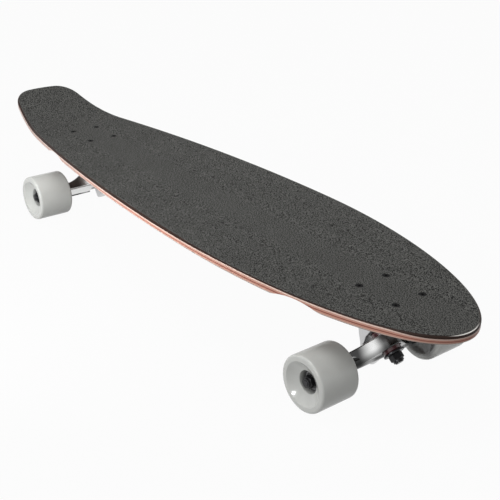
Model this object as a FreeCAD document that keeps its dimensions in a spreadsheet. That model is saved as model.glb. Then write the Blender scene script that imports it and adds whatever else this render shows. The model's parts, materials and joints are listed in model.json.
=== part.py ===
"""Longboard skateboard with a kicktail and two reverse-kingpin trucks.

Millimetres. +X runs to the nose, +Y to the left of a rider facing it and +Z up. The wheels stand
on Z = 0 and the origin is below the middle of the deck. Every driving size is a cell of the sheet "sizes".
"""
import FreeCAD
import Part
import Sketcher
import math
import os

from FreeCAD import Placement, Rotation, Vector

DECK = {
    "deck_length": 926.0,
    "deck_width": 234.4,
    "deck_thickness": 9.8,
    "nose_length": 330.0,
    "side_radius": 2626.0,
    "tail_corner_radius": 37.6,
    "tail_end_radius": 218.0,
    "concave_radius": 980.0,
    "kick_gap": 40.0,
    "kick_radius": 280.0,
    "kick_angle": 25.9,
    "deck_edge_round": 2.4,
    "well_gap": 43.0,
    "well_depth": 6.3,
    "well_radius": 88.0,
    "well_fade": 58.0,
    "grip_thickness": 0.7,
    "grip_inset": 1.2,
}

LAYOUT = {
    "nose_overhang": 110.0,
    "tail_overhang": 176.0,
    "axle_drop": 69.5,
    "axle_inset": 7.3,
    "axle_rake": 1.5,
    "ring_rise": 18.6,
    "pivot_angle": 53.0,
    "bolt_pitch_long": 54.0,
    "bolt_pitch_wide": 41.3,
}

HARDWARE = {
    "bolt_diameter": 4.8,
    "bolt_hole_diameter": 5.3,
    "bolt_head_diameter": 9.0,
    "bolt_head_height": 2.6,
    "bolt_tip": 1.8,
    "socket_width": 3.2,
    "socket_depth": 1.9,
    "bolt_nut_width": 9.5,
    "bolt_nut_height": 3.9,
    "bolt_collar_diameter": 8.2,
    "bolt_collar_height": 1.7,
}

BASEPLATE = {
    "plate_length": 80.0,
    "plate_width": 58.0,
    "plate_thickness": 5.5,
    "plate_corner_radius": 8.0,
    "wedge_width": 27.4,
    "wedge_back": 31.5,
    "wedge_round": 2.4,
    "foot_round": 1.3,
    "seat_low": 14.0,
    "king_wall": 11.0,
    "king_pocket_diameter": 19.0,
    "king_hole_diameter": 9.8,
    "arm_gap": 14.0,
    "housing_radius": 9.3,
    "housing_mouth": 26.6,
    "housing_floor": 2.6,
}

STACK = {
    "web_thickness": 5.0,
    "boardside_height": 13.0,
    "roadside_height": 10.6,
    "bushing_diameter": 24.0,
    "roadside_tip_diameter": 21.0,
    "bushing_bore_diameter": 10.0,
    "bushing_chamfer": 1.4,
    "bushing_washer_diameter": 25.0,
    "bushing_washer_thickness": 2.2,
    "bushing_washer_round": 0.7,
    "king_diameter": 9.5,
    "king_head_width": 14.3,
    "king_head_height": 6.0,
    "king_nut_width": 14.3,
    "king_nut_height": 7.4,
    "king_collar_diameter": 12.6,
    "king_collar_height": 2.4,
    "king_tip": 1.2,
    "cup_radius": 7.0,
    "cup_floor": 1.6,
    "nub_fit": 0.06,
}

HANGER = {
    "hanger_width": 152.8,
    "slab_thickness": 17.0,
    "ring_radius": 17.0,
    "ring_road_radius": 15.4,
    "wing_angle": 35.0,
    "wing_road_angle": 45.0,
    "wing_radius": 60.0,
    "wing_road_radius": 44.0,
    "beam_rise": 8.5,
    "beam_road_rise": 2.1,
    "beam_drop": 1.0,
    "beam_road_drop": 9.6,
    "beam_radius": 9.0,
    "beam_end_radius": 7.2,
    "beam_end_taper": 11.0,
    "cone_start": 57.0,
    "cone_end": 67.0,
    "cone_radius": 14.6,
    "seat_clearance": 0.4,
    "web_bore_diameter": 14.0,
    "nub_radius": 5.0,
    "nub_root": 24.7,
    "nub_length": 11.6,
    "notch_radius": 17.8,
    "hanger_edge_round": 1.0,
}

ROLLING = {
    "wheel_radius": 33.0,
    "wheel_width": 52.0,
    "wheel_lip_round": 3.4,
    "wheel_face_inner": 26.0,
    "wheel_dish_depth": 8.2,
    "wheel_dish_radius": 42.0,
    "hub_mouth_radius": 13.4,
    "hub_shoulder_radius": 9.6,
    "hub_seat_margin": 0.6,
    "axle_diameter": 8.0,
    "axle_tip": 1.0,
    "axle_chamfer": 0.8,
    "axle_nut_width": 12.7,
    "axle_nut_height": 5.8,
    "axle_collar_diameter": 11.2,
    "axle_collar_height": 2.2,
    "speed_washer_diameter": 12.4,
    "speed_washer_thickness": 1.0,
    "bearing_diameter": 22.0,
    "bearing_width": 7.0,
    "spacer_length": 10.0,
    "spacer_diameter": 10.2,
    "pitch_radius": 7.5,
    "ball_diameter": 3.97,
    "ball_fit": 0.05,
    "land_gap": 1.4,
    "shield_gap": 0.3,
    "shield_thickness": 0.4,
    "shield_recess": 0.25,
    "cage_inner_radius": 6.7,
    "cage_outer_radius": 8.3,
    "cage_low": 0.9,
    "cage_high": 2.6,
    "cage_fit": 0.12,
}

MAKING = {
    "overrun": 8.0,
    "same_place": 0.05,
}

DERIVED = {
    "deck_bottom": "wheel_radius + axle_drop",
    "deck_top": "deck_bottom + deck_thickness",
    "grip_top": "deck_top + grip_thickness",
    "nose_x": "deck_length / 2",
    "widest_x": "nose_x - nose_length",
    "front_x": "nose_x - nose_overhang",
    "rear_x": "tail_overhang - nose_x",
    "kick_x": "rear_x - kick_gap",
    "kick_axis_z": "deck_top + kick_radius",
    "deck_run": "nose_x - kick_x + overrun",
    "kick_reach": "kick_radius * sin(kick_angle * 1deg)",
    "tail_run": "(nose_x + kick_x - kick_reach) / cos(kick_angle * 1deg) + overrun",
    "prism_height": "grip_top + kick_radius",
    "slab_half": "deck_width / 2 + overrun",
    "deck_low_radius": "concave_radius + deck_thickness",
    "deck_side_low": "deck_bottom + deck_low_radius - sqrt(deck_low_radius ^ 2 - slab_half ^ 2)",
    "deck_side_top": "deck_top + concave_radius - sqrt(concave_radius ^ 2 - slab_half ^ 2)",
    "grip_high_radius": "concave_radius - grip_thickness",
    "grip_side_top": "grip_top + grip_high_radius - sqrt(grip_high_radius ^ 2 - slab_half ^ 2)",
    "well_front_x": "front_x - well_gap",
    "well_rear_x": "rear_x + well_gap",
    "well_length": "deck_width",
    "bolt_radius": "bolt_diameter / 2",
    "bolt_hole_radius": "bolt_hole_diameter / 2",
    "bolt_head_radius": "bolt_head_diameter / 2",
    "bolt_top": "deck_thickness + grip_thickness",
    "bolt_head_low": "bolt_top - bolt_head_height",
    "bolt_nut_low": "plate_thickness + bolt_nut_height",
    "bolt_low": "bolt_nut_low + bolt_collar_height + bolt_tip",
    "bolt_shank": "bolt_low + bolt_head_low",
    "socket_radius": "socket_width / sqrt(3)",
    "bolt_nut_radius": "bolt_nut_width / sqrt(3)",
    "bolt_collar_radius": "bolt_collar_diameter / 2",
    "plate_half_length": "plate_length / 2",
    "plate_half_width": "plate_width / 2",
    "plate_flat_length": "plate_half_length - plate_corner_radius",
    "plate_flat_width": "plate_half_width - plate_corner_radius",
    "plate_middle": "plate_thickness / 2",
    "wedge_half": "wedge_width / 2",
    "steer_x": "ring_rise * cos(pivot_angle * 1deg) - axle_rake * sin(pivot_angle * 1deg) - axle_inset",
    "steer_z": "ring_rise * sin(pivot_angle * 1deg) + axle_rake * cos(pivot_angle * 1deg) - axle_drop",
    "web_half": "web_thickness / 2",
    "seat_out": "web_half + boardside_height + bushing_washer_thickness",
    "boardside_end": "web_half + boardside_height",
    "roadside_end": "web_half + roadside_height",
    "king_nut_low": "roadside_end + bushing_washer_thickness",
    "king_nut_high": "king_nut_low + king_nut_height",
    "king_end": "king_nut_high + king_collar_height + king_tip",
    "king_seat": "seat_out + king_wall",
    "king_shank": "king_seat + king_end",
    "king_radius": "king_diameter / 2",
    "king_hole_radius": "king_hole_diameter / 2",
    "king_pocket_radius": "king_pocket_diameter / 2",
    "king_head_radius": "king_head_width / sqrt(3)",
    "king_nut_radius": "king_nut_width / sqrt(3)",
    "king_collar_radius": "king_collar_diameter / 2",
    "king_pocket_length": "wedge_back + plate_length",
    "bushing_radius": "bushing_diameter / 2",
    "bushing_bore": "bushing_bore_diameter / 2",
    "bushing_flat": "bushing_radius - bushing_chamfer",
    "roadside_tip_radius": "roadside_tip_diameter / 2",
    "roadside_tip_flat": "roadside_tip_radius - bushing_chamfer",
    "boardside_low_bevel": "boardside_end - bushing_chamfer",
    "bushing_bevel": "web_half + bushing_chamfer",
    "roadside_bevel": "roadside_end - bushing_chamfer",
    "bushing_washer_radius": "bushing_washer_diameter / 2",
    "bushing_washer_flat": "bushing_washer_radius - bushing_washer_round",
    "boardside_washer_bevel": "boardside_end + bushing_washer_round",
    "roadside_washer_bevel": "king_nut_low - bushing_washer_round",
    "nub_middle": "nub_root + nub_length - nub_radius",
    "nub_tip": "nub_root + nub_length",
    "cup_bore": "nub_radius + nub_fit",
    "cup_hollow": "nub_middle + cup_bore",
    "cup_end": "cup_hollow + cup_floor",
    "housing_end": "cup_end + housing_floor",
    "housing_length": "housing_end - housing_mouth",
    "wedge_top_z": "-plate_middle",
    "wedge_top_x": "steer_x - seat_out * sin(pivot_angle * 1deg) + "
    "(wedge_top_z - steer_z - seat_out * cos(pivot_angle * 1deg)) / tan(pivot_angle * 1deg)",
    "seat_low_x": "steer_x - seat_low * cos(pivot_angle * 1deg) - seat_out * sin(pivot_angle * 1deg)",
    "seat_low_z": "steer_z - seat_low * sin(pivot_angle * 1deg) + seat_out * cos(pivot_angle * 1deg)",
    "seat_middle_z": "steer_z + seat_out * cos(pivot_angle * 1deg)",
    "arm_low_x": "steer_x - housing_mouth * cos(pivot_angle * 1deg) - arm_gap * sin(pivot_angle * 1deg)",
    "arm_low_z": "steer_z - housing_mouth * sin(pivot_angle * 1deg) + arm_gap * cos(pivot_angle * 1deg)",
    "mouth_x": "steer_x - housing_mouth * cos(pivot_angle * 1deg)",
    "mouth_z": "steer_z - housing_mouth * sin(pivot_angle * 1deg)",
    "heel_x": "steer_x - housing_end * cos(pivot_angle * 1deg)",
    "heel_z": "steer_z - housing_end * sin(pivot_angle * 1deg)",
    "heel_back_x": "heel_x - housing_radius * sin(pivot_angle * 1deg)",
    "heel_back_z": "heel_z + housing_radius * cos(pivot_angle * 1deg)",
    "wedge_wide": "wedge_half + overrun",
    "arm_deep_z": "heel_z - overrun",
    "slab_side": "slab_thickness / 2",
    "hanger_half": "hanger_width / 2",
    "axle_low": "-ring_rise",
    "beam_bottom": "axle_low - beam_drop",
    "road_bottom": "axle_low - beam_road_drop",
    "wing_start_y": "ring_radius * sin(wing_angle * 1deg)",
    "wing_start_z": "ring_radius * cos(wing_angle * 1deg)",
    "wing_foot_z": "axle_low + beam_rise",
    "wing_bend_z": "wing_foot_z + wing_radius * (1 - cos(wing_angle * 1deg))",
    "wing_apex": "ring_radius / cos(wing_angle * 1deg)",
    "wing_bend_y": "(wing_apex - wing_bend_z) / tan(wing_angle * 1deg)",
    "wing_foot_y": "wing_bend_y + wing_radius * sin(wing_angle * 1deg)",
    "road_start_y": "ring_road_radius * sin(wing_road_angle * 1deg)",
    "road_start_z": "ring_road_radius * cos(wing_road_angle * 1deg)",
    "road_foot_z": "axle_low + beam_road_rise",
    "road_bend_z": "road_foot_z + wing_road_radius * (1 - cos(wing_road_angle * 1deg))",
    "road_apex": "ring_road_radius / cos(wing_road_angle * 1deg)",
    "road_bend_y": "(road_apex - road_bend_z) / tan(wing_road_angle * 1deg)",
    "road_foot_y": "road_bend_y + wing_road_radius * sin(wing_road_angle * 1deg)",
    "beam_taper_y": "hanger_half - beam_end_taper",
    "beam_top": "axle_low + beam_radius",
    "beam_end_top": "axle_low + beam_end_radius",
    "cone_top": "axle_low + cone_radius",
    "cone_clear": "cone_top + overrun",
    "seat_radius": "bushing_radius + seat_clearance",
    "web_bore": "web_bore_diameter / 2",
    "seat_reach": "slab_side + overrun",
    "nub_low": "-nub_middle",
    "nub_end": "-nub_tip",
    "nub_shoulder": "-nub_root",
    "notch_low": "-housing_end",
    "wheel_half": "wheel_width / 2",
    "wheel_flat": "wheel_half - wheel_lip_round",
    "wheel_lip": "wheel_radius - wheel_lip_round",
    "hub_mouth": "wheel_half - wheel_dish_depth",
    "spacer_half": "spacer_length / 2",
    "bearing_far": "spacer_half + bearing_width",
    "bearing_middle": "spacer_half + bearing_width / 2",
    "hub_seat_end": "bearing_far + hub_seat_margin",
    "bearing_radius": "bearing_diameter / 2",
    "bearing_half": "bearing_width / 2",
    "wheel_y": "hanger_half + speed_washer_thickness + bearing_far",
    "axle_radius": "axle_diameter / 2",
    "axle_bevel": "axle_radius - axle_chamfer",
    "washer_far": "bearing_far + speed_washer_thickness",
    "speed_washer_radius": "speed_washer_diameter / 2",
    "axle_nut_radius": "axle_nut_width / sqrt(3)",
    "axle_nut_high": "washer_far + axle_nut_height",
    "axle_collar_radius": "axle_collar_diameter / 2",
    "axle_half": "wheel_y + axle_nut_high + axle_collar_height + axle_tip",
    "axle_straight": "axle_half - axle_chamfer",
    "spacer_radius": "spacer_diameter / 2",
    "ball_radius": "ball_diameter / 2",
    "groove_radius": "ball_radius + ball_fit",
    "groove_half": "sqrt(groove_radius ^ 2 - land_gap ^ 2)",
    "inner_land": "pitch_radius - land_gap",
    "outer_land": "pitch_radius + land_gap",
    "shield_bore": "inner_land + shield_gap",
    "shield_high": "bearing_half - shield_recess",
    "shield_low": "shield_high - shield_thickness",
    "cage_socket": "ball_radius + cage_fit",
}

BALL_COUNT = 7
HEX_SIDES = 6
FULL_TURN = 360.0
HALF_TURN = 180.0
QUARTER_TURN = 90.0
EDGE_SHARES = (0.1, 0.5, 0.9)
UPRIGHT_SHARE = 0.02

os.makedirs("parts", exist_ok=True)
document = FreeCAD.newDocument("longboard")
sheet = document.addObject("Spreadsheet::Sheet", "sizes")
NODES = []


def fill_sheet():
    """Write the driving sizes as numbers and the derived ones as formulas, each under its alias."""
    row = 1
    for group in (DECK, LAYOUT, HARDWARE, BASEPLATE, STACK, HANGER, ROLLING, MAKING):
        for name, value in group.items():
            sheet.set(f"A{row}", name)
            sheet.set(f"B{row}", str(value))
            sheet.setAlias(f"B{row}", name)
            row += 1
    for name, formula in DERIVED.items():
        sheet.set(f"A{row}", name)
        sheet.set(f"B{row}", "=" + formula)
        sheet.setAlias(f"B{row}", name)
        row += 1
    document.recompute()


def size(name):
    """Value of a size; a leading minus turns it round and "0" is zero."""
    if name == "0":
        return 0.0
    if name.startswith("-"):
        return -float(sheet.get(name[1:]))
    return float(sheet.get(name))


def cell(name):
    """Expression that reads a size from the sheet."""
    if name.startswith("-"):
        return "-sizes." + name[1:]
    return "sizes." + name


def bind(item, **names):
    """Bind each property of an object to a size."""
    for prop, name in names.items():
        item.setExpression(prop, cell(name))
    return item


def sketch_on(body, role, offset=None):
    """Sketch on one of a body's own origin planes, moved along its normal by a size if one is given."""
    sketch = body.newObject("Sketcher::SketchObject", "profile")
    plane = next(feature for feature in body.Origin.OriginFeatures if feature.Role == role)
    sketch.AttachmentSupport = [(plane, "")]
    sketch.MapMode = "FlatFace"
    if offset:
        sketch.setExpression("AttachmentOffset.Base.z", cell(offset))
    return sketch


def pin(sketch, edge, end, corner):
    """Hold one end of an edge at a corner given as two sizes."""
    for kind, axis, name in (("DistanceX", -2, corner[0]), ("DistanceY", -1, corner[1])):
        if name == "0":
            sketch.addConstraint(Sketcher.Constraint("PointOnObject", edge, end, axis))
        else:
            index = sketch.addConstraint(Sketcher.Constraint(kind, edge, end, size(name)))
            sketch.setExpression(f"Constraints[{index}]", cell(name))


def bend_between(start, end, radius, turn):
    """Arc from start to end; turn is +1 anticlockwise and -1 clockwise."""
    chord = end - start
    half = chord.Length / 2
    rise = math.sqrt(max(radius * radius - half * half, 0.0))
    left = Vector(-chord.y, chord.x, 0).normalize()
    middle = (start + end) * 0.5 + left * (rise * turn)
    circle = Part.Circle(middle, Vector(0, 0, 1), radius)
    angles = [math.atan2(spot.y - middle.y, spot.x - middle.x) for spot in (start, end)]
    if turn < 0:
        angles.reverse()
    return Part.ArcOfCircle(circle, angles[0], angles[1])


def outline(sketch, corners, bends=None):
    """Closed outline through corners, with an arc of a named radius and turn on each edge in bends."""
    bends = bends or {}
    spots = [Vector(size(across), size(along), 0) for across, along in corners]
    first = sketch.GeometryCount
    tails = []
    for index, start in enumerate(spots):
        end = spots[(index + 1) % len(spots)]
        edge = first + index
        if index in bends:
            name, turn = bends[index]
            sketch.addGeometry(bend_between(start, end, size(name), turn), False)
            near, far = (1, 2) if turn > 0 else (2, 1)
        else:
            sketch.addGeometry(Part.LineSegment(start, end), False)
            near, far = 1, 2
        tails.append((edge, near, far))
    for index, (edge, near, far) in enumerate(tails):
        next_edge, next_near, _ = tails[(index + 1) % len(tails)]
        sketch.addConstraint(Sketcher.Constraint("Coincident", edge, far, next_edge, next_near))
        pin(sketch, edge, near, corners[index])
        if index in bends:
            name = bends[index][0]
            radius = sketch.addConstraint(Sketcher.Constraint("Radius", edge, size(name)))
            sketch.setExpression(f"Constraints[{radius}]", cell(name))
    return sketch


def circle(sketch, middle, radius):
    """Circle round a middle given as two sizes."""
    spot = Vector(size(middle[0]), size(middle[1]), 0)
    edge = sketch.addGeometry(Part.Circle(spot, Vector(0, 0, 1), size(radius)), False)
    pin(sketch, edge, 3, middle)
    index = sketch.addConstraint(Sketcher.Constraint("Radius", edge, size(radius)))
    sketch.setExpression(f"Constraints[{index}]", cell(radius))
    return sketch


def axis_line(sketch, start, end):
    """Construction line that a sketch can be turned round."""
    spots = [Vector(size(across), size(along), 0) for across, along in (start, end)]
    edge = sketch.addGeometry(Part.LineSegment(spots[0], spots[1]), True)
    pin(sketch, edge, 1, start)
    pin(sketch, edge, 2, end)


def new_body(label):
    """Empty body."""
    body = document.addObject("PartDesign::Body", label)
    body.Label = label
    return body


def pad(body, sketch, length, symmetric=False, reverse=False):
    """Pad a sketch by a size."""
    feature = body.newObject("PartDesign::Pad", "pad")
    feature.Profile = sketch
    feature.SideType = "Symmetric" if symmetric else "One side"
    feature.Reversed = reverse
    bind(feature, Length=length)
    body.Tip = feature
    return feature


def revolve(body, sketch, axis, kind="PartDesign::Revolution"):
    """Turn a sketch all the way round one of its axes, adding or cutting."""
    feature = body.newObject(kind, "turn")
    feature.Profile = sketch
    feature.ReferenceAxis = (sketch, [axis])
    feature.Angle = FULL_TURN
    body.Tip = feature
    return feature


def bore_through(body, sketch):
    """Cut a sketch right through a body, both ways."""
    feature = body.newObject("PartDesign::Pocket", "bore")
    feature.Profile = sketch
    feature.Type = "ThroughAll"
    feature.SideType = "Symmetric"
    body.Tip = feature
    return feature


def turned(label, corners, frame, bends=None):
    """Body turned round its own Z axis from an outline of radius and height, put in a frame."""
    body = new_body(label)
    revolve(body, outline(sketch_on(body, "XZ_Plane"), corners, bends), "V_Axis")
    body.Placement = frame
    return body


def ring(label, inner, outer, low, high, frame):
    """Plain ring between two radii and two heights."""
    return turned(label, [(inner, low), (outer, low), (outer, high), (inner, high)], frame)


def solid(kind, label, frame, **names):
    """Primitive with its sizes bound to the sheet, put in a frame."""
    item = document.addObject(kind, label)
    bind(item, **names)
    item.Placement = frame
    return item


def rod(label, radius, length, frame, low="0"):
    """Cylinder along a frame's Z axis that starts at a height."""
    return solid("Part::Cylinder", label, frame * lift(low), Radius=radius, Height=length)


def hexagon(label, radius, length, frame, low="0"):
    """Hexagonal prism along a frame's Z axis that starts at a height."""
    item = solid("Part::Prism", label, frame * lift(low), Circumradius=radius, Height=length)
    item.Polygon = HEX_SIDES
    return item


def lift(name):
    """Shift along Z by a size."""
    return Placement(Vector(0, 0, size(name)), Rotation())


def fused(label, items):
    """Union of several solids."""
    item = document.addObject("Part::MultiFuse", label)
    item.Shapes = items
    item.Refine = True
    return item


def cut(label, base, tools):
    """Base with every tool taken away."""
    item = document.addObject("Part::Cut", label)
    item.Base = base
    item.Tool = tools[0] if len(tools) == 1 else fused(label + "_tools", tools)
    item.Refine = True
    return item


def gathered(label, items):
    """Several identical loose pieces as one sub-part."""
    item = document.addObject("Part::Compound", label)
    item.Links = items
    return item


def node(label, item):
    """Name a finished sub-part and list it for export."""
    item.Label = label
    NODES.append(item)
    return item


def side_circle(inset_name):
    """Middle and radius of the long curve along the deck's left edge."""
    radius = size("side_radius")
    middle = Vector(size("widest_x"), size("deck_width") / 2 - radius, 0)
    return middle, radius - size(inset_name)


def deck_outline(inset_name):
    """Face inside the deck's edge seen from above: elliptical nose, long side curves and a squared tail."""
    inset = size(inset_name)
    side, side_radius = side_circle(inset_name)
    tail_radius = size("tail_end_radius")
    tail = Vector(tail_radius - size("nose_x"), 0, 0)
    corner_radius = size("tail_corner_radius")
    near = size("side_radius") - corner_radius
    far = tail_radius - corner_radius
    apart = (side - tail).Length
    along = (near * near - far * far + apart * apart) / (2 * apart)
    off = math.sqrt(near * near - along * along)
    line = (tail - side).normalize()
    square = Vector(line.y, -line.x, 0) * off
    corner = min((side + line * along + square, side + line * along - square), key=lambda spot: spot.x)
    side_end = side + (corner - side).normalize() * side_radius
    tail_end = tail + (corner - tail).normalize() * (tail_radius - inset)
    bisector = ((side_end - corner).normalize() + (tail_end - corner).normalize()).normalize()
    corner_middle = corner + bisector * (corner_radius - inset)
    widest = side + Vector(0, side_radius, 0)
    side_middle = side + ((widest + side_end) * 0.5 - side).normalize() * side_radius
    tail_middle = tail - Vector(tail_radius - inset, 0, 0)

    def across(spot):
        return Vector(spot.x, -spot.y, spot.z)

    nose_middle = Vector(size("widest_x"), 0, 0)
    nose = Part.Ellipse(nose_middle, size("nose_length") - inset, size("deck_width") / 2 - inset)
    edges = [
        Part.ArcOfEllipse(nose, -math.pi / 2, math.pi / 2).toShape(),
        Part.Arc(widest, side_middle, side_end).toShape(),
        Part.Arc(side_end, corner_middle, tail_end).toShape(),
        Part.Arc(tail_end, tail_middle, across(tail_end)).toShape(),
        Part.Arc(across(tail_end), across(corner_middle), across(side_end)).toShape(),
        Part.Arc(across(side_end), across(side_middle), across(widest)).toShape(),
    ]
    return Part.Face(Part.Wire(edges))


def bent_board(label, side_low, side_top, low_radius, high_radius, inset_name):
    """Board of even thickness with the deck's concave, kicktail and outline."""
    corners = [
        ("-slab_half", side_low),
        ("slab_half", side_low),
        ("slab_half", side_top),
        ("-slab_half", side_top),
    ]
    bends = {0: (low_radius, 1), 2: (high_radius, -1)}
    kick_pivot = Vector(size("kick_x"), 0, size("kick_axis_z"))
    kick_turn = Rotation(Vector(0, 1, 0), size("kick_angle"))

    flat = new_body(label + "_flat")
    pad(flat, outline(sketch_on(flat, "YZ_Plane", "kick_x"), corners, bends), "deck_run")

    kick = new_body(label + "_kick")
    profile = outline(sketch_on(kick, "YZ_Plane", "kick_x"), corners, bends)
    axis_line(profile, ("0", "kick_axis_z"), ("slab_half", "kick_axis_z"))
    turn = revolve(kick, profile, "Axis0")
    bind(turn, Angle="kick_angle")

    tail = new_body(label + "_tail")
    pad(tail, outline(sketch_on(tail, "YZ_Plane", "kick_x"), corners, bends), "tail_run", reverse=True)
    tail.Placement = Placement(kick_pivot - kick_turn.multVec(kick_pivot), kick_turn)

    face = document.addObject("Part::Feature", label + "_outline")
    face.Shape = deck_outline(inset_name)
    prism = document.addObject("Part::Extrusion", label + "_prism")
    prism.Base = face
    prism.DirMode = "Custom"
    prism.Dir = Vector(0, 0, 1)
    prism.Solid = True
    bind(prism, LengthFwd="prism_height")
    trimmed = document.addObject("Part::MultiCommon", label + "_trimmed")
    trimmed.Shapes = [fused(label + "_slab", [flat, kick, tail]), prism]
    trimmed.Refine = True
    document.recompute()
    return trimmed


def upright(face):
    """True for a face that stands upright at its middle."""
    low, high, left, right = face.ParameterRange
    normal = face.normalAt((low + high) / 2, (left + right) / 2)
    return abs(normal.z) < UPRIGHT_SHARE


def rim_edges(shape):
    """Numbers of the edges where an upright side meets the top or the underside."""
    chosen = []
    for number, edge in enumerate(shape.Edges, 1):
        faces = shape.ancestorsOfType(edge, Part.Face)
        if len(faces) == 2 and upright(faces[0]) != upright(faces[1]):
            chosen.append(number)
    return chosen


def rounded(label, item, edges):
    """Item with its edges rounded; edges lists their numbers under the size that rounds them."""
    fillet = document.addObject("Part::Fillet", label)
    fillet.Base = item
    fillet.Edges = [(number, size(name), size(name)) for name, numbers in edges.items() for number in numbers]
    document.recompute()
    return fillet


def casting_edges(shape, to_truck, to_steer):
    """Numbers of a baseplate's outer edges below the plate, and of those where it grows out of the plate."""
    near = size("same_place")
    sides = []
    feet = []
    for number, edge in enumerate(shape.Edges, 1):
        spots = [to_truck.multVec(vertex.Point) for vertex in edge.Vertexes]
        turned_spots = [to_steer.multVec(vertex.Point) for vertex in edge.Vertexes]
        beside = all(abs(spot.y) > size("housing_radius") - near for spot in spots)
        below = all(spot.z < near - size("plate_thickness") for spot in spots)
        foot = all(abs(spot.z + size("plate_thickness")) < near for spot in spots)
        inside = all(abs(spot.y) < size("wedge_half") + near for spot in spots)
        heel = all(abs(spot.z + size("housing_end")) < near for spot in turned_spots)
        mouth = all(abs(spot.z + size("housing_mouth")) < near for spot in turned_spots)
        seam = all(abs(spot.x) < near for spot in turned_spots)
        if foot and inside:
            feet.append(number)
        elif heel or (beside and below and not foot and not mouth and not seam):
            sides.append(number)
    return sides, feet


def wing_rims(shape, back):
    """Numbers of the edges along the ring and wings of a hanger's two broad faces."""
    near = size("same_place")
    local = shape.copy()
    local.Placement = back * local.Placement
    chosen = []
    for number, edge in enumerate(local.Edges, 1):
        spots = [edge.valueAt(edge.getParameterByLength(edge.Length * share)) for share in EDGE_SHARES]
        flush = all(abs(abs(spot.x) - size("slab_side")) < near for spot in spots)
        clear = all(math.hypot(spot.y, spot.z) > size("seat_radius") + near for spot in spots)
        above = spots[1].z > -size("seat_radius")
        if flush and clear and above:
            chosen.append(number)
    return chosen


def bolt_frames():
    """Frames on the deck's underside at the eight bolts, by truck."""
    half_long = size("bolt_pitch_long") / 2
    half_wide = size("bolt_pitch_wide") / 2
    frames = {}
    for truck, base in TRUCKS.items():
        frames[truck] = [
            base * Placement(Vector(along * half_long, across * half_wide, 0), Rotation())
            for along in (1, -1)
            for across in (1, -1)
        ]
    return frames


def well_cutters():
    """Cylinders that hollow the underside above each wheel, deepest at the deck's edge."""
    tools = []
    for place, name in (("front", "well_front_x"), ("rear", "well_rear_x")):
        spot = size(name)
        ahead = spot - size("widest_x")
        if ahead > 0:
            edge = size("deck_width") / 2 * math.sqrt(1 - (ahead / size("nose_length")) ** 2)
        else:
            middle, radius = side_circle("0")
            edge = middle.y + math.sqrt(radius * radius - ahead * ahead)
        fade = size("well_fade")
        bend = size("deck_low_radius")
        base = size("deck_bottom") + bend
        edge_z = base - math.sqrt(bend * bend - edge * edge) + size("well_depth")
        fade_z = base - math.sqrt(bend * bend - fade * fade)
        slope = math.atan2(edge_z - fade_z, edge - fade)
        for side in (1, -1):
            axis = Vector(0, side * math.cos(slope), math.sin(slope))
            down = Vector(0, side * math.sin(slope), -math.cos(slope))
            start = Vector(spot, side * fade, fade_z) + down * size("well_radius") - axis * size("overrun")
            frame = Placement(start, Rotation(Vector(0, 0, 1), axis))
            tools.append(rod(f"{place}_well", "well_radius", "well_length", frame))
    return tools


def make_deck():
    """Deck with rounded edges, wheel wells and countersunk bolt holes, and the grip tape over it."""
    board = bent_board("board", "deck_side_low", "deck_side_top", "deck_low_radius", "concave_radius", "0")
    board = rounded("board_rounded", board, {"deck_edge_round": rim_edges(board.Shape)})
    tools = well_cutters()
    for frames in bolt_frames().values():
        for frame in frames:
            tools.append(rod("bolt_hole", "bolt_hole_radius", "prism_height", frame, "-overrun"))
            sink = solid("Part::Cone", "bolt_sink", frame * lift("bolt_head_low"), Height="bolt_head_height")
            bind(sink, Radius1="bolt_radius", Radius2="bolt_head_radius")
            tools.append(sink)
    node("deck", cut("deck", board, tools))

    skin = bent_board(
        "skin", "deck_side_top", "grip_side_top", "concave_radius", "grip_high_radius", "grip_inset"
    )
    holes = [
        rod("grip_hole", "bolt_head_radius", "prism_height", frame)
        for frames in bolt_frames().values()
        for frame in frames
    ]
    node("grip_tape", cut("grip_tape", skin, holes))


def make_bolts(truck):
    """Countersunk socket bolts through the deck and the lock nuts under the baseplate."""
    bolts = []
    nuts = []
    for frame in bolt_frames()[truck]:
        head = solid("Part::Cone", "bolt_head", frame * lift("bolt_head_low"), Height="bolt_head_height")
        bind(head, Radius1="bolt_radius", Radius2="bolt_head_radius")
        shank = rod("bolt_shank", "bolt_radius", "bolt_shank", frame, "-bolt_low")
        top = frame * lift("bolt_top")
        socket = hexagon("bolt_socket", "socket_radius", "socket_depth", top, "-socket_depth")
        bolts.append(cut("bolt", fused("bolt_blank", [head, shank]), [socket]))
        nut = hexagon("nut_hex", "bolt_nut_radius", "bolt_nut_height", frame, "-bolt_nut_low")
        under = frame * lift("-bolt_nut_low")
        collar = rod("nut_collar", "bolt_collar_radius", "bolt_collar_height", under, "-bolt_collar_height")
        bore = rod("nut_bore", "bolt_radius", "prism_height", frame, "-prism_height")
        nuts.append(cut("nut", fused("nut_blank", [nut, collar]), [bore]))
    node(f"{truck}_mounting_bolts", gathered(f"{truck}_mounting_bolts", bolts))
    node(f"{truck}_mounting_nuts", gathered(f"{truck}_mounting_nuts", nuts))


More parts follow.
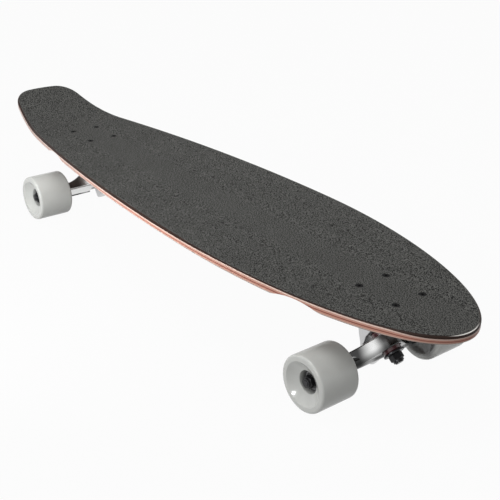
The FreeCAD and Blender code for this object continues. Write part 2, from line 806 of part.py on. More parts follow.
def make_baseplate(truck):
    """Plate under the deck with a slanted bushing seat and an arm down to the pivot housing."""
    base = TRUCKS[truck]
    body = new_body(f"{truck}_casting")
    plate = outline(
        sketch_on(body, "XY_Plane"),
        [
            ("-plate_flat_length", "-plate_half_width"),
            ("plate_flat_length", "-plate_half_width"),
            ("plate_half_length", "-plate_flat_width"),
            ("plate_half_length", "plate_flat_width"),
            ("plate_flat_length", "plate_half_width"),
            ("-plate_flat_length", "plate_half_width"),
            ("-plate_half_length", "plate_flat_width"),
            ("-plate_half_length", "-plate_flat_width"),
        ],
        {index: ("plate_corner_radius", 1) for index in (1, 3, 5, 7)},
    )
    pad(body, plate, "plate_thickness", reverse=True)
    wedge = outline(
        sketch_on(body, "XZ_Plane"),
        [
            ("wedge_top_x", "wedge_top_z"),
            ("seat_low_x", "seat_low_z"),
            ("arm_low_x", "arm_low_z"),
            ("mouth_x", "mouth_z"),
            ("heel_x", "heel_z"),
            ("heel_back_x", "heel_back_z"),
            ("-wedge_back", "seat_low_z"),
            ("-wedge_back", "wedge_top_z"),
        ],
    )
    pad(body, wedge, "wedge_width", symmetric=True)
    taper = sketch_on(body, "YZ_Plane")
    for sign in ("", "-"):
        outline(
            taper,
            [
                (sign + "wedge_wide", "seat_middle_z"),
                (sign + "wedge_half", "seat_middle_z"),
                (sign + "housing_radius", "arm_low_z"),
                (sign + "housing_radius", "arm_deep_z"),
                (sign + "wedge_wide", "arm_deep_z"),
            ],
        )
    bore_through(body, taper)
    body.Placement = base
    steer = STEER[truck]
    king = KING[truck]
    housing = rod("housing", "housing_radius", "housing_length", steer, "-housing_end")
    blank = fused("baseplate_blank", [body, housing])
    document.recompute()
    sides, feet = casting_edges(blank.Shape, base.inverse(), steer.inverse())
    blank = rounded("baseplate_sides", blank, {"wedge_round": sides, "foot_round": feet})
    wall = king * lift("-king_seat")
    tools = [
        rod("king_hole", "king_hole_radius", "king_pocket_length", king, "-king_pocket_length"),
        rod("king_pocket", "king_pocket_radius", "king_pocket_length", wall, "-king_pocket_length"),
        rod("cup_pocket", "cup_radius", "cup_end", steer, "-cup_end"),
    ]
    for frame in bolt_frames()[truck]:
        tools.append(rod("plate_hole", "bolt_hole_radius", "prism_height", frame, "-prism_height"))
    node(f"{truck}_baseplate", cut(f"{truck}_baseplate", blank, tools))


def make_stack(truck):
    """Everything on the kingpin's axis, and the pivot cup."""
    king = KING[truck]
    steer = STEER[truck]
    shank = rod("king_shank", "king_radius", "king_shank", king, "-king_seat")
    wall = king * lift("-king_seat")
    head = hexagon("king_head", "king_head_radius", "king_head_height", wall, "-king_head_height")
    node(f"{truck}_kingpin", fused(f"{truck}_kingpin", [shank, head]))
    nut = hexagon("king_nut", "king_nut_radius", "king_nut_height", king, "king_nut_low")
    collar = rod("king_collar", "king_collar_radius", "king_collar_height", king, "king_nut_high")
    bore = rod("king_bore", "king_radius", "king_shank", king)
    node(f"{truck}_kingpin_nut", cut(f"{truck}_kingpin_nut", fused("king_nut_blank", [nut, collar]), [bore]))
    node(
        f"{truck}_boardside_bushing",
        turned(
            f"{truck}_boardside_bushing",
            [
                ("bushing_bore", "-boardside_end"),
                ("bushing_flat", "-boardside_end"),
                ("bushing_radius", "-boardside_low_bevel"),
                ("bushing_radius", "-bushing_bevel"),
                ("bushing_flat", "-web_half"),
                ("bushing_bore", "-web_half"),
            ],
            king,
        ),
    )
    node(
        f"{truck}_roadside_bushing",
        turned(
            f"{truck}_roadside_bushing",
            [
                ("bushing_bore", "web_half"),
                ("bushing_flat", "web_half"),
                ("bushing_radius", "bushing_bevel"),
                ("roadside_tip_radius", "roadside_bevel"),
                ("roadside_tip_flat", "roadside_end"),
                ("bushing_bore", "roadside_end"),
            ],
            king,
        ),
    )
    node(
        f"{truck}_boardside_washer",
        turned(
            f"{truck}_boardside_washer",
            [
                ("king_radius", "-seat_out"),
                ("bushing_washer_radius", "-seat_out"),
                ("bushing_washer_radius", "-boardside_washer_bevel"),
                ("bushing_washer_flat", "-boardside_end"),
                ("king_radius", "-boardside_end"),
            ],
            king,
            {2: ("bushing_washer_round", 1)},
        ),
    )
    node(
        f"{truck}_roadside_washer",
        turned(
            f"{truck}_roadside_washer",
            [
                ("king_radius", "roadside_end"),
                ("bushing_washer_radius", "roadside_end"),
                ("bushing_washer_radius", "roadside_washer_bevel"),
                ("bushing_washer_flat", "king_nut_low"),
                ("king_radius", "king_nut_low"),
            ],
            king,
            {2: ("bushing_washer_round", 1)},
        ),
    )
    node(
        f"{truck}_pivot_cup",
        turned(
            f"{truck}_pivot_cup",
            [
                ("0", "-cup_end"),
                ("cup_radius", "-cup_end"),
                ("cup_radius", "-housing_mouth"),
                ("cup_bore", "-housing_mouth"),
                ("cup_bore", "nub_low"),
                ("0", "-cup_hollow"),
            ],
            steer,
            {4: ("cup_bore", -1)},
        ),
    )


def make_hanger(truck):
    """Delta casting with a bushing ring, an axle beam and the pivot nub, and the axle through it."""
    body = new_body(f"{truck}_delta")
    board = outline(
        sketch_on(body, "YZ_Plane", "-slab_side"),
        [
            ("wing_foot_y", "beam_bottom"),
            ("wing_foot_y", "wing_foot_z"),
            ("wing_bend_y", "wing_bend_z"),
            ("wing_start_y", "wing_start_z"),
            ("-wing_start_y", "wing_start_z"),
            ("-wing_bend_y", "wing_bend_z"),
            ("-wing_foot_y", "wing_foot_z"),
            ("-wing_foot_y", "beam_bottom"),
        ],
        {1: ("wing_radius", -1), 3: ("ring_radius", 1), 5: ("wing_radius", -1)},
    )
    road = outline(
        sketch_on(body, "YZ_Plane", "slab_side"),
        [
            ("road_foot_y", "road_bottom"),
            ("road_foot_y", "road_foot_z"),
            ("road_bend_y", "road_bend_z"),
            ("road_start_y", "road_start_z"),
            ("-road_start_y", "road_start_z"),
            ("-road_bend_y", "road_bend_z"),
            ("-road_foot_y", "road_foot_z"),
            ("-road_foot_y", "road_bottom"),
        ],
        {1: ("wing_road_radius", -1), 3: ("ring_road_radius", 1), 5: ("wing_road_radius", -1)},
    )
    wings = body.newObject("PartDesign::AdditiveLoft", "wings")
    wings.Profile = board
    wings.Sections = [road]
    wings.Ruled = True
    body.Tip = wings
    beam = outline(
        sketch_on(body, "YZ_Plane", "axle_rake"),
        [
            ("-hanger_half", "axle_low"),
            ("hanger_half", "axle_low"),
            ("hanger_half", "beam_end_top"),
            ("beam_taper_y", "beam_top"),
            ("-beam_taper_y", "beam_top"),
            ("-hanger_half", "beam_end_top"),
        ],
    )
    axis_line(beam, ("0", "axle_low"), ("hanger_half", "axle_low"))
    revolve(body, beam, "Axis0")
    cone = sketch_on(body, "YZ_Plane", "axle_rake")
    for sign in ("", "-"):
        outline(
            cone,
            [
                (sign + "cone_start", "cone_top"),
                (sign + "cone_end", "beam_top"),
                (sign + "cone_end", "cone_clear"),
                (sign + "cone_start", "cone_clear"),
            ],
        )
    axis_line(cone, ("0", "axle_low"), ("hanger_half", "axle_low"))
    revolve(body, cone, "Axis0", "PartDesign::Groove")
    notch = outline(
        sketch_on(body, "XZ_Plane"),
        [
            ("0", "notch_low"),
            ("notch_radius", "notch_low"),
            ("notch_radius", "nub_shoulder"),
            ("0", "nub_shoulder"),
        ],
    )
    revolve(body, notch, "V_Axis", "PartDesign::Groove")
    nub = outline(
        sketch_on(body, "XZ_Plane"),
        [("0", "nub_end"), ("nub_radius", "nub_low"), ("nub_radius", "axle_low"), ("0", "axle_low")],
        {0: ("nub_radius", 1)},
    )
    revolve(body, nub, "V_Axis")
    seats = outline(
        sketch_on(body, "XZ_Plane"),
        [
            ("-seat_reach", "0"),
            ("seat_reach", "0"),
            ("seat_reach", "seat_radius"),
            ("web_half", "seat_radius"),
            ("web_half", "web_bore"),
            ("-web_half", "web_bore"),
            ("-web_half", "seat_radius"),
            ("-seat_reach", "seat_radius"),
        ],
    )
    revolve(body, seats, "H_Axis", "PartDesign::Groove")
    hole = circle(sketch_on(body, "XZ_Plane"), ("axle_rake", "axle_low"), "axle_radius")
    bore_through(body, hole)
    body.Placement = STEER[truck]
    document.recompute()
    rims = wing_rims(body.Shape, STEER[truck].inverse())
    node(f"{truck}_hanger", rounded(f"{truck}_hanger", body, {"hanger_edge_round": rims}))
    node(
        f"{truck}_axle",
        turned(
            f"{truck}_axle",
            [
                ("0", "-axle_half"),
                ("axle_bevel", "-axle_half"),
                ("axle_radius", "-axle_straight"),
                ("axle_radius", "axle_straight"),
                ("axle_bevel", "axle_half"),
                ("0", "axle_half"),
            ],
            AXLE[truck],
        ),
    )


def make_axle_pieces(truck):
    """Small pieces that stay still on the axle: nuts, speed washers, inner races and spacers."""
    nuts = []
    washers = []
    races = []
    spacers = []
    for frame in WHEEL[truck].values():
        hexed = hexagon("axle_nut_hex", "axle_nut_radius", "axle_nut_height", frame, "washer_far")
        collar = rod("axle_nut_collar", "axle_collar_radius", "axle_collar_height", frame, "axle_nut_high")
        bore = rod("axle_nut_bore", "axle_radius", "axle_half", frame)
        nuts.append(cut("axle_nut", fused("axle_nut_blank", [hexed, collar]), [bore]))
        spacers.append(ring("spacer", "axle_radius", "spacer_radius", "-spacer_half", "spacer_half", frame))
        for low, high in (("bearing_far", "washer_far"), ("-washer_far", "-bearing_far")):
            washers.append(ring("speed_washer", "axle_radius", "speed_washer_radius", low, high, frame))
        for middle in ("bearing_middle", "-bearing_middle"):
            races.append(
                turned(
                    "inner_race",
                    [
                        ("axle_radius", "-bearing_half"),
                        ("inner_land", "-bearing_half"),
                        ("inner_land", "-groove_half"),
                        ("inner_land", "groove_half"),
                        ("inner_land", "bearing_half"),
                        ("axle_radius", "bearing_half"),
                    ],
                    frame * lift(middle),
                    {2: ("groove_radius", -1)},
                )
            )
    node(f"{truck}_axle_nuts", gathered(f"{truck}_axle_nuts", nuts))
    node(f"{truck}_speed_washers", gathered(f"{truck}_speed_washers", washers))
    node(f"{truck}_bearing_inner_races", gathered(f"{truck}_bearing_inner_races", races))
    node(f"{truck}_bearing_spacers", gathered(f"{truck}_bearing_spacers", spacers))


def make_wheel(place, frame):
    """Urethane wheel with dished faces and the turning parts of its two bearings."""
    node(
        f"{place}_wheel",
        turned(
            f"{place}_wheel",
            [
                ("hub_shoulder_radius", "-spacer_half"),
                ("bearing_radius", "-spacer_half"),
                ("bearing_radius", "-hub_seat_end"),
                ("hub_mouth_radius", "-hub_mouth"),
                ("wheel_face_inner", "-wheel_half"),
                ("wheel_lip", "-wheel_half"),
                ("wheel_radius", "-wheel_flat"),
                ("wheel_radius", "wheel_flat"),
                ("wheel_lip", "wheel_half"),
                ("wheel_face_inner", "wheel_half"),
                ("hub_mouth_radius", "hub_mouth"),
                ("bearing_radius", "hub_seat_end"),
                ("bearing_radius", "spacer_half"),
                ("hub_shoulder_radius", "spacer_half"),
            ],
            frame,
            {
                3: ("wheel_dish_radius", -1),
                5: ("wheel_lip_round", 1),
                7: ("wheel_lip_round", 1),
                9: ("wheel_dish_radius", -1),
            },
        ),
    )
    races = []
    shields = []
    balls = []
    cages = []
    for middle in ("bearing_middle", "-bearing_middle"):
        bearing = frame * lift(middle)
        races.append(
            turned(
                "outer_race",
                [
                    ("bearing_radius", "-bearing_half"),
                    ("bearing_radius", "bearing_half"),
                    ("outer_land", "bearing_half"),
                    ("outer_land", "groove_half"),
                    ("outer_land", "-groove_half"),
                    ("outer_land", "-bearing_half"),
                ],
                bearing,
                {3: ("groove_radius", -1)},
            )
        )
        for low, high in (("shield_low", "shield_high"), ("-shield_high", "-shield_low")):
            shields.append(ring("shield", "shield_bore", "outer_land", low, high, bearing))
        hollow = []
        for step in range(BALL_COUNT):
            around = Placement(Vector(), Rotation(Vector(0, 0, 1), FULL_TURN * step / BALL_COUNT))
            spot = bearing * around * Placement(Vector(size("pitch_radius"), 0, 0), Rotation())
            balls.append(solid("Part::Sphere", "ball", spot, Radius="ball_radius"))
            hollow.append(solid("Part::Sphere", "ball_socket", spot, Radius="cage_socket"))
        band = ring("cage_band", "cage_inner_radius", "cage_outer_radius", "cage_low", "cage_high", bearing)
        cages.append(cut("cage", band, hollow))
    node(f"{place}_bearing_outer_races", gathered(f"{place}_bearing_outer_races", races))
    node(f"{place}_bearing_shields", gathered(f"{place}_bearing_shields", shields))
    node(f"{place}_bearing_balls", gathered(f"{place}_bearing_balls", balls))
    node(f"{place}_bearing_cages", gathered(f"{place}_bearing_cages", cages))


def export():
    """Write each sub-part to its own file once it and everything it is made of are sound."""
    document.recompute()
    for item in document.Objects:
        if "Invalid" in item.State or "Error" in item.State:
            raise RuntimeError(f"{item.Label}: {item.State}")
    for item in NODES:
        if item.Shape.isNull() or not item.Shape.isValid():
            raise RuntimeError(f"{item.Label}: shape is null or not valid")
        item.Shape.exportStep(f"parts/{item.Label}.step")


fill_sheet()

TRUCKS = {
    "front": Placement(Vector(size("front_x"), 0, size("deck_bottom")), Rotation()),
    "rear": Placement(Vector(size("rear_x"), 0, size("deck_bottom")), Rotation(Vector(0, 0, 1), HALF_TURN)),
}
STEER = {}
KING = {}
AXLE = {}
WHEEL = {}
for truck_name, truck_base in TRUCKS.items():
    ring_middle = Vector(size("steer_x"), 0, size("steer_z"))
    lean = QUARTER_TURN - size("pivot_angle")
    STEER[truck_name] = truck_base * Placement(ring_middle, Rotation(Vector(0, 1, 0), lean))
    KING[truck_name] = truck_base * Placement(ring_middle, Rotation(Vector(0, 1, 0), lean + QUARTER_TURN))
    axle_middle = Vector(-size("axle_inset"), 0, -size("axle_drop"))
    AXLE[truck_name] = truck_base * Placement(axle_middle, Rotation(Vector(1, 0, 0), -QUARTER_TURN))
    WHEEL[truck_name] = {}
    for side_name, side_sign in (("left", 1), ("right", -1)):
        side_middle = Vector(AXLE[truck_name].Base.x, side_sign * size("wheel_y"), AXLE[truck_name].Base.z)
        outward = Rotation(Vector(1, 0, 0), -side_sign * QUARTER_TURN)
        WHEEL[truck_name][side_name] = Placement(side_middle, outward)

make_deck()
for truck_name in TRUCKS:
    make_baseplate(truck_name)
    make_bolts(truck_name)
    make_stack(truck_name)
    make_hanger(truck_name)
    make_axle_pieces(truck_name)
    for side_name, side_frame in WHEEL[truck_name].items():
        make_wheel(f"{truck_name}_{side_name}", side_frame)
export()
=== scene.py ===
"""Dressed longboard skateboard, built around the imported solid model.

Lengths are millimetres in the classes and metres in the meshes. +X runs to the nose, +Y to the left
of a rider who faces it and +Z up.
"""
from __future__ import annotations

import json
import logging
import math
from dataclasses import dataclass, field
from enum import Enum
from typing import Any, Sequence

import bmesh
import bpy
import numpy as np
from mathutils import Matrix, Vector

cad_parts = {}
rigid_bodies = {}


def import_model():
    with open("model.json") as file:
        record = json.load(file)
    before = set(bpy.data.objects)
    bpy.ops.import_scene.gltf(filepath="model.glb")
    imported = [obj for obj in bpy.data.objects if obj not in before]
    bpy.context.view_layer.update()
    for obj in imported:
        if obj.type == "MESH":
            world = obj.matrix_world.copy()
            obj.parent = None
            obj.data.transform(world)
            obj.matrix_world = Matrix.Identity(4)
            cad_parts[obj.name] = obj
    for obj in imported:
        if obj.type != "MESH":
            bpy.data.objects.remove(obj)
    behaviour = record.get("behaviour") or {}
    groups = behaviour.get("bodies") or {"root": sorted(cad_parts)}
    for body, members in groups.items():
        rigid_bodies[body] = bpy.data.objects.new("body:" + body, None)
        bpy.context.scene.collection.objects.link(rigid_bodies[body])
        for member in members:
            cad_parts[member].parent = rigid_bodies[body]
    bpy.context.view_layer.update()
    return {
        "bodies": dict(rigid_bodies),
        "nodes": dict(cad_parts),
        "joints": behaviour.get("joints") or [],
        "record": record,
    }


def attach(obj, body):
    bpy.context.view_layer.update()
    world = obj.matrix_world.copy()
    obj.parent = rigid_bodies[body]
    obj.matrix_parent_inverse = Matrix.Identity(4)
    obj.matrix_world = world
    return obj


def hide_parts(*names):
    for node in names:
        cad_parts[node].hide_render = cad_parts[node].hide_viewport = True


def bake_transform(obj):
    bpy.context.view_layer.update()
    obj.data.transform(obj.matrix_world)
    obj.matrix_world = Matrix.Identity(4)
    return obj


LOG = logging.getLogger("longboard")
MM = 0.001
SHARP_ANGLE = math.radians(32.0)
MERGE_DISTANCE = 2e-6
CORNER_SHARE = 0.49
CRISP = 0.6
FINE_DETAIL = 3.0
SEEN_WAYS = ("Is Camera Ray", "Is Glossy Ray", "Is Transmission Ray")
Colour = tuple[float, float, float]
Spot = tuple[float, float, float]
Span = tuple[float, float]


class Truck(Enum):
    """The two trucks, with the turn about Z in degrees that faces each one to its end of the board."""

    FRONT = ("front", 0.0)
    REAR = ("rear", 180.0)

    def __init__(self, label: str, heading: float) -> None:
        """Keep the truck's name and its turn."""
        self.label = label
        self.heading = heading


class Side(Enum):
    """The two sides of the board, with their way along Y."""

    LEFT = ("left", 1.0)
    RIGHT = ("right", -1.0)

    def __init__(self, label: str, sign: float) -> None:
        """Keep the side's name and its direction."""
        self.label = label
        self.sign = sign


class Value:
    """A number on a shader socket, which arithmetic turns into Math nodes."""

    def __init__(self, shader: "Shader", socket: Any) -> None:
        """Wrap a socket of a shader.

        Args:
            shader: The material that the socket belongs to.
            socket: The output socket.
        """
        self.shader = shader
        self.socket = socket

    def _math(self, operation: str, *terms: Any) -> "Value":
        """Add a Math node.

        Args:
            operation: The node's operation.
            terms: Its inputs in order, as values or numbers.

        Returns:
            The node's result.
        """
        inputs = dict(enumerate(terms))
        return self.shader.value("ShaderNodeMath", {"operation": operation}, inputs)

    def __add__(self, other: Any) -> "Value":
        """Sum."""
        return self._math("ADD", self, other)

    def __radd__(self, other: Any) -> "Value":
        """Sum with a number on the left."""
        return self._math("ADD", other, self)

    def __sub__(self, other: Any) -> "Value":
        """Difference."""
        return self._math("SUBTRACT", self, other)

    def __rsub__(self, other: Any) -> "Value":
        """Difference with a number on the left."""
        return self._math("SUBTRACT", other, self)

    def __mul__(self, other: Any) -> "Value":
        """Product."""
        return self._math("MULTIPLY", self, other)

    def __rmul__(self, other: Any) -> "Value":
        """Product with a number on the left."""
        return self._math("MULTIPLY", other, self)

    def __truediv__(self, other: Any) -> "Value":
        """Quotient."""
        return self._math("DIVIDE", self, other)

    def __pow__(self, other: Any) -> "Value":
        """Power."""
        return self._math("POWER", self, other)

    def size(self) -> "Value":
        """The value without its sign."""
        return self._math("ABSOLUTE", self)

    def sine(self) -> "Value":
        """Sine of the value in radians."""
        return self._math("SINE", self)

    def above(self, low: float, high: float) -> "Value":
        """Smooth step from 0 at low to 1 at high.

        Args:
            low: Where the step starts.
            high: Where it ends.

        Returns:
            The step, from 0 to 1.
        """
        settings = {"interpolation_type": "SMOOTHSTEP"}
        inputs = {"Value": self, "From Min": low, "From Max": high}
        return self.shader.value("ShaderNodeMapRange", settings, inputs)


class Shader:
    """A procedural material with one Principled surface."""

    def __init__(self, name: str) -> None:
        """Start an empty material.

        Args:
            name: The material's name.
        """
        self.material = bpy.data.materials.new(name)
        self.material.use_nodes = True
        self.tree = self.material.node_tree
        self.tree.nodes.clear()
        self.output = self.tree.nodes.new("ShaderNodeOutputMaterial")
        self.surface = self.tree.nodes.new("ShaderNodeBsdfPrincipled")
        self.tree.links.new(self.surface.outputs[0], self.output.inputs["Surface"])

    def node(self, kind: str, settings: dict[str, Any], inputs: dict[Any, Any]) -> Any:
        """Add a node.

        Args:
            kind: The node's type.
            settings: Properties to set first; "stops" holds a ramp's places and colours.
            inputs: Values, links or colours by socket name or number.

        Returns:
            The node.
        """
        node = self.tree.nodes.new(kind)
        for key, setting in settings.items():
            if key == "stops":
                self._fill_ramp(node.color_ramp, setting)
            else:
                setattr(node, key, setting)
        for key, term in inputs.items():
            self.feed(node.inputs[key], term)
        return node

    @staticmethod
    def _fill_ramp(ramp: Any, stops: Sequence[tuple[float, Colour]]) -> None:
        """Give a ramp its stops.

        Args:
            ramp: The node's ramp.
            stops: Places from 0 to 1 with their colours.
        """
        while len(ramp.elements) < len(stops):
            ramp.elements.new(1.0)
        for element, (place, colour) in zip(ramp.elements, stops):
            element.position = place
            element.color = (*colour, 1.0)

    def feed(self, socket: Any, term: Any) -> None:
        """Link or set one input.

        Args:
            socket: The input socket.
            term: A value, an output socket, a number, a colour or a vector.
        """
        if isinstance(term, Value):
            self.tree.links.new(term.socket, socket)
        elif isinstance(term, bpy.types.NodeSocket):
            self.tree.links.new(term, socket)
        elif isinstance(term, tuple) and socket.type == "RGBA":
            socket.default_value = (*term, 1.0)
        else:
            socket.default_value = term

    def value(self, kind: str, settings: dict[str, Any], inputs: dict[Any, Any], out: Any = 0) -> Value:
        """Add a node and take one of its outputs as a number.

        Args:
            kind: The node's type.
            settings: Properties to set first.
            inputs: Its inputs.
            out: Name or number of the output.

        Returns:
            The output.
        """
        return Value(self, self.node(kind, settings, inputs).outputs[out])

    def place(self, scale: Spot) -> Any:
        """Object coordinates, in metres times a scale on each axis.

        Args:
            scale: Factor on each axis.

        Returns:
            The vector socket.
        """
        spot = self.node("ShaderNodeTexCoord", {}, {}).outputs["Object"]
        inputs = {"Vector": spot, "Scale": scale}
        return self.node("ShaderNodeMapping", {"vector_type": "POINT"}, inputs).outputs[0]

    def axis(self, name: str) -> Value:
        """One object coordinate in millimetres.

        Args:
            name: "X", "Y" or "Z".

        Returns:
            The coordinate.
        """
        spot = self.place((1.0 / MM, 1.0 / MM, 1.0 / MM))
        return self.value("ShaderNodeSeparateXYZ", {}, {0: spot}, name)

    def attribute(self, name: str) -> Value:
        """A number kept on the mesh's points."""
        return self.value("ShaderNodeAttribute", {"attribute_name": name}, {}, "Fac")

    def noise(self, grain: float | Spot, detail: float = 2.0, roughness: float = 0.5) -> Value:
        """Noise whose grain has a size in millimetres, alike or different on each axis.

        Args:
            grain: Size of a grain, or its size along X, Y and Z.
            detail: Number of finer layers.
            roughness: Share of each finer layer.

        Returns:
            The noise, from 0 to 1 about a half.
        """
        sizes = grain if isinstance(grain, tuple) else (grain, grain, grain)
        spot = self.place(tuple(1.0 / (MM * size) for size in sizes))
        inputs = {"Vector": spot, "Scale": 1.0, "Detail": detail, "Roughness": roughness}
        return self.value("ShaderNodeTexNoise", {}, inputs)

    def cells(self, grain: float) -> Value:
        """Distance from the middle of the nearest cell.

        Args:
            grain: Size of a cell in millimetres.

        Returns:
            The distance, in cells.
        """
        share = 1.0 / (MM * grain)
        inputs = {"Vector": self.place((share, share, share)), "Scale": 1.0}
        return self.value("ShaderNodeTexVoronoi", {}, inputs, "Distance")

    def ramp(self, share: Value, stops: Sequence[tuple[float, Colour]]) -> Any:
        """Colour from a ramp that goes straight from stop to stop.

        Args:
            share: Where on the ramp, from 0 to 1.
            stops: The ramp's places and colours.

        Returns:
            The colour socket.
        """
        return self.node("ShaderNodeValToRGB", {"stops": stops}, {"Fac": share}).outputs["Color"]

    def mix(self, share: Any, first: Any, second: Any, blend: str = "MIX") -> Any:
        """Mix of two colours.

        Args:
            share: Share of the second.
            first: Colour or socket.
            second: Colour or socket.
            blend: How they are mixed.

        Returns:
            The colour socket.
        """
        settings = {"data_type": "RGBA", "blend_type": blend}
        return self.node("ShaderNodeMix", settings, {0: share, 6: first, 7: second}).outputs[2]

    def shade(self, colour: Any, factor: Value) -> Any:
        """Colour times a number.

        Args:
            colour: Colour or socket.
            factor: Factor about 1.

        Returns:
            The colour socket.
        """
        grey = self.node("ShaderNodeCombineColor", {}, {0: factor, 1: factor, 2: factor}).outputs[0]
        return self.mix(1.0, colour, grey, "MULTIPLY")

    def bump(self, height: Value, depth: float, under: Any = None) -> Any:
        """Surface relief.

        Args:
            height: Relief from 0 to 1.
            depth: Depth in millimetres of the whole relief.
            under: Normal of a coarser relief below this one.

        Returns:
            The normal socket.
        """
        inputs = {"Height": height, "Distance": depth * MM, "Strength": 1.0}
        if under is not None:
            inputs["Normal"] = under
        return self.node("ShaderNodeBump", {}, inputs).outputs[0]

    def finish(self, **sockets: Any) -> Any:
        """Feed the Principled surface.

        Args:
            sockets: Inputs by name, with underscores for spaces.

        Returns:
            The finished material.
        """
        for name, term in sockets.items():
            self.feed(self.surface.inputs[name.replace("_", " ")], term)
        return self.material


@dataclass(frozen=True)
class GripFinish:
    """Black mineral grit on a sheet: fine grains, clumps a few grains wide and a filed rim."""

    name: str = "black_grit"
    shadow: Colour = (0.006, 0.006, 0.0058)
    body: Colour = (0.117, 0.117, 0.1105)
    glint: Colour = (0.26, 0.26, 0.25)
    grain: float = 0.5
    clump: float = 1.3
    clump_step: Span = (0.42, 0.58)
    spark_step: Span = (0.66, 0.76)
    spark_share: float = 0.55
    drift: float = 45.0
    drift_low: float = 0.86
    drift_gain: float = 0.28
    filed_share: float = 0.10
    relief: float = 0.20
    rough: float = 0.92
    spark_gloss: float = 0.35
    specular: float = 0.12

    def material(self) -> Any:
        """Grain and clump noise set the tone; the grains' cells and the clumps give the relief."""
        shader = Shader(self.name)
        cell = shader.cells(self.grain)
        clump = shader.noise(self.clump, roughness=CRISP)
        drift = shader.noise(self.drift)
        colour = shader.mix(clump.above(*self.clump_step), self.shadow, self.body)
        spark = shader.noise(self.grain, detail=1.0).above(*self.spark_step)
        colour = shader.mix(spark * self.spark_share, colour, self.glint)
        colour = shader.shade(colour, self.drift_low + drift * self.drift_gain)
        colour = shader.mix(shader.attribute("filed") * self.filed_share, colour, self.glint)
        relief = shader.bump(1.0 - cell, self.relief)
        relief = shader.bump(clump, self.relief, relief)
        return shader.finish(
            Base_Color=colour,
            Roughness=self.rough - spark * self.spark_gloss,
            Normal=relief,
            Specular_IOR_Level=self.specular,
        )


@dataclass(frozen=True)
class LaminateFinish:
    """Glued maple veneers under lacquer: a stained top one, drawn thinner along a stretch of the edge as
    painted light, with painted shade and a painted highlight at the nose.
    """

    thickness: float
    name: str = "laminated_maple"
    stain: Colour = (0.022, 0.0095, 0.006)
    cream: Colour = (0.68, 0.50, 0.43)
    salmon: Colour = (0.56, 0.285, 0.220)
    rust: Colour = (0.26, 0.092, 0.064)
    base: Colour = (0.150, 0.078, 0.052)
    glue: Colour = (0.17, 0.070, 0.048)
    # Near-white colour used as a painted highlight on the nose's top rim.
    scuff: Colour = (0.88, 0.86, 0.82)
    veneers: tuple[float, ...] = (2.9, 1.5, 1.3, 0.8, 1.2, 0.9, 1.2)
    glue_line: float = 0.10
    wander: float = 0.22
    sway: Spot = (90.0, 30.0, 30.0)
    streak: Spot = (60.0, 2.2, 1.4)
    fibre: Spot = (9.0, 0.3, 0.3)
    tone_low: float = 0.82
    streak_tone: float = 0.26
    fibre_tone: float = 0.10
    relief: float = 0.02
    pale: Colour = (0.60, 0.49, 0.445)
    bare_step: float = 0.4
    paler_place: Span = (-330.0, 80.0)
    paler_share: float = 0.6
    # Painted shade on the edge towards the nose tip.
    painted_tip_shade_place: Span = (415.0, 460.0)
    painted_tip_shade_share: float = 0.28
    painted_highlight_place: Span = (453.0, 463.0)
    painted_highlight_depth: Span = (0.25, 0.5)
    # Painted light: the stained veneer is drawn thinner along this stretch of the side.
    painted_light_shift: float = 1.9
    painted_light_fade: float = 1.5
    painted_light_from: Span = (60.0, 230.0)
    painted_light_to: Span = (405.0, 445.0)
    rough: float = 0.38
    streak_rough: float = 0.14
    specular: float = 0.15
    coat: float = 0.12
    coat_rough: float = 0.12

    def stops(self) -> list[tuple[float, Colour]]:
        """Ramp over the depth: each veneer's colour, with a thin dark glue line between two."""
        colours = (
            self.stain, self.cream, self.salmon, self.rust, self.salmon, self.cream, self.base,
        )
        line = self.glue_line / self.thickness
        places: list[tuple[float, Colour]] = []
        edge = 0.0
        for index, colour in enumerate(colours):
            start = edge
            edge = start + self.veneers[index] / self.thickness
            places.append((start + line, colour))
            places.append((edge - line, colour))
            places.append((edge, self.glue))
        return places[:-1]

    def material(self) -> Any:
        """The depth below the top picks a veneer; long noise along X makes its grain."""
        shader = Shader(self.name)
        sway = shader.noise(self.sway)
        along = shader.axis("X")
        # Painted light: the stain band shows thinner along the side's middle stretch.
        thinned = along.above(*self.painted_light_from) * (1.0 - along.above(*self.painted_light_to)) * self.painted_light_shift
        depth = shader.attribute("ply_depth")
        below = depth + (sway - 0.5) * self.wander
        below = below + thinned * (1.0 - depth.above(self.painted_light_fade, self.thickness))
        colour = shader.ramp(below / self.thickness, self.stops())
        streak = shader.noise(self.streak, FINE_DETAIL, CRISP)
        fibre = shader.noise(self.fibre, roughness=CRISP)
        bare = below.above(self.veneers[0], self.veneers[0] + self.bare_step)
        # The veneers below the stain turn paler towards the tail.
        paler_rearward = bare * (1.0 - along.above(*self.paler_place)) * self.paler_share
        colour = shader.mix(paler_rearward, colour, self.pale)
        # Painted shade darkens the edge towards the nose tip.
        painted_tip_shade = 1.0 - along.above(*self.painted_tip_shade_place) * self.painted_tip_shade_share
        grain = self.tone_low + streak * self.streak_tone + fibre * self.fibre_tone
        colour = shader.shade(colour, grain * painted_tip_shade)
        # Painted highlight along the top rim at the nose tip.
        painted_rim_highlight = (1.0 - depth.above(*self.painted_highlight_depth)) * along.above(*self.painted_highlight_place)
        colour = shader.mix(painted_rim_highlight, colour, self.scuff)
        relief = shader.bump(fibre, self.relief)
        relief = shader.bump(streak, self.relief, relief)
        return shader.finish(
            Base_Color=colour,
            Roughness=self.rough + streak * self.streak_rough,
            Normal=relief,
            Specular_IOR_Level=self.specular,
            Coat_Weight=bare * self.coat,
            Coat_Roughness=self.coat_rough,
        )


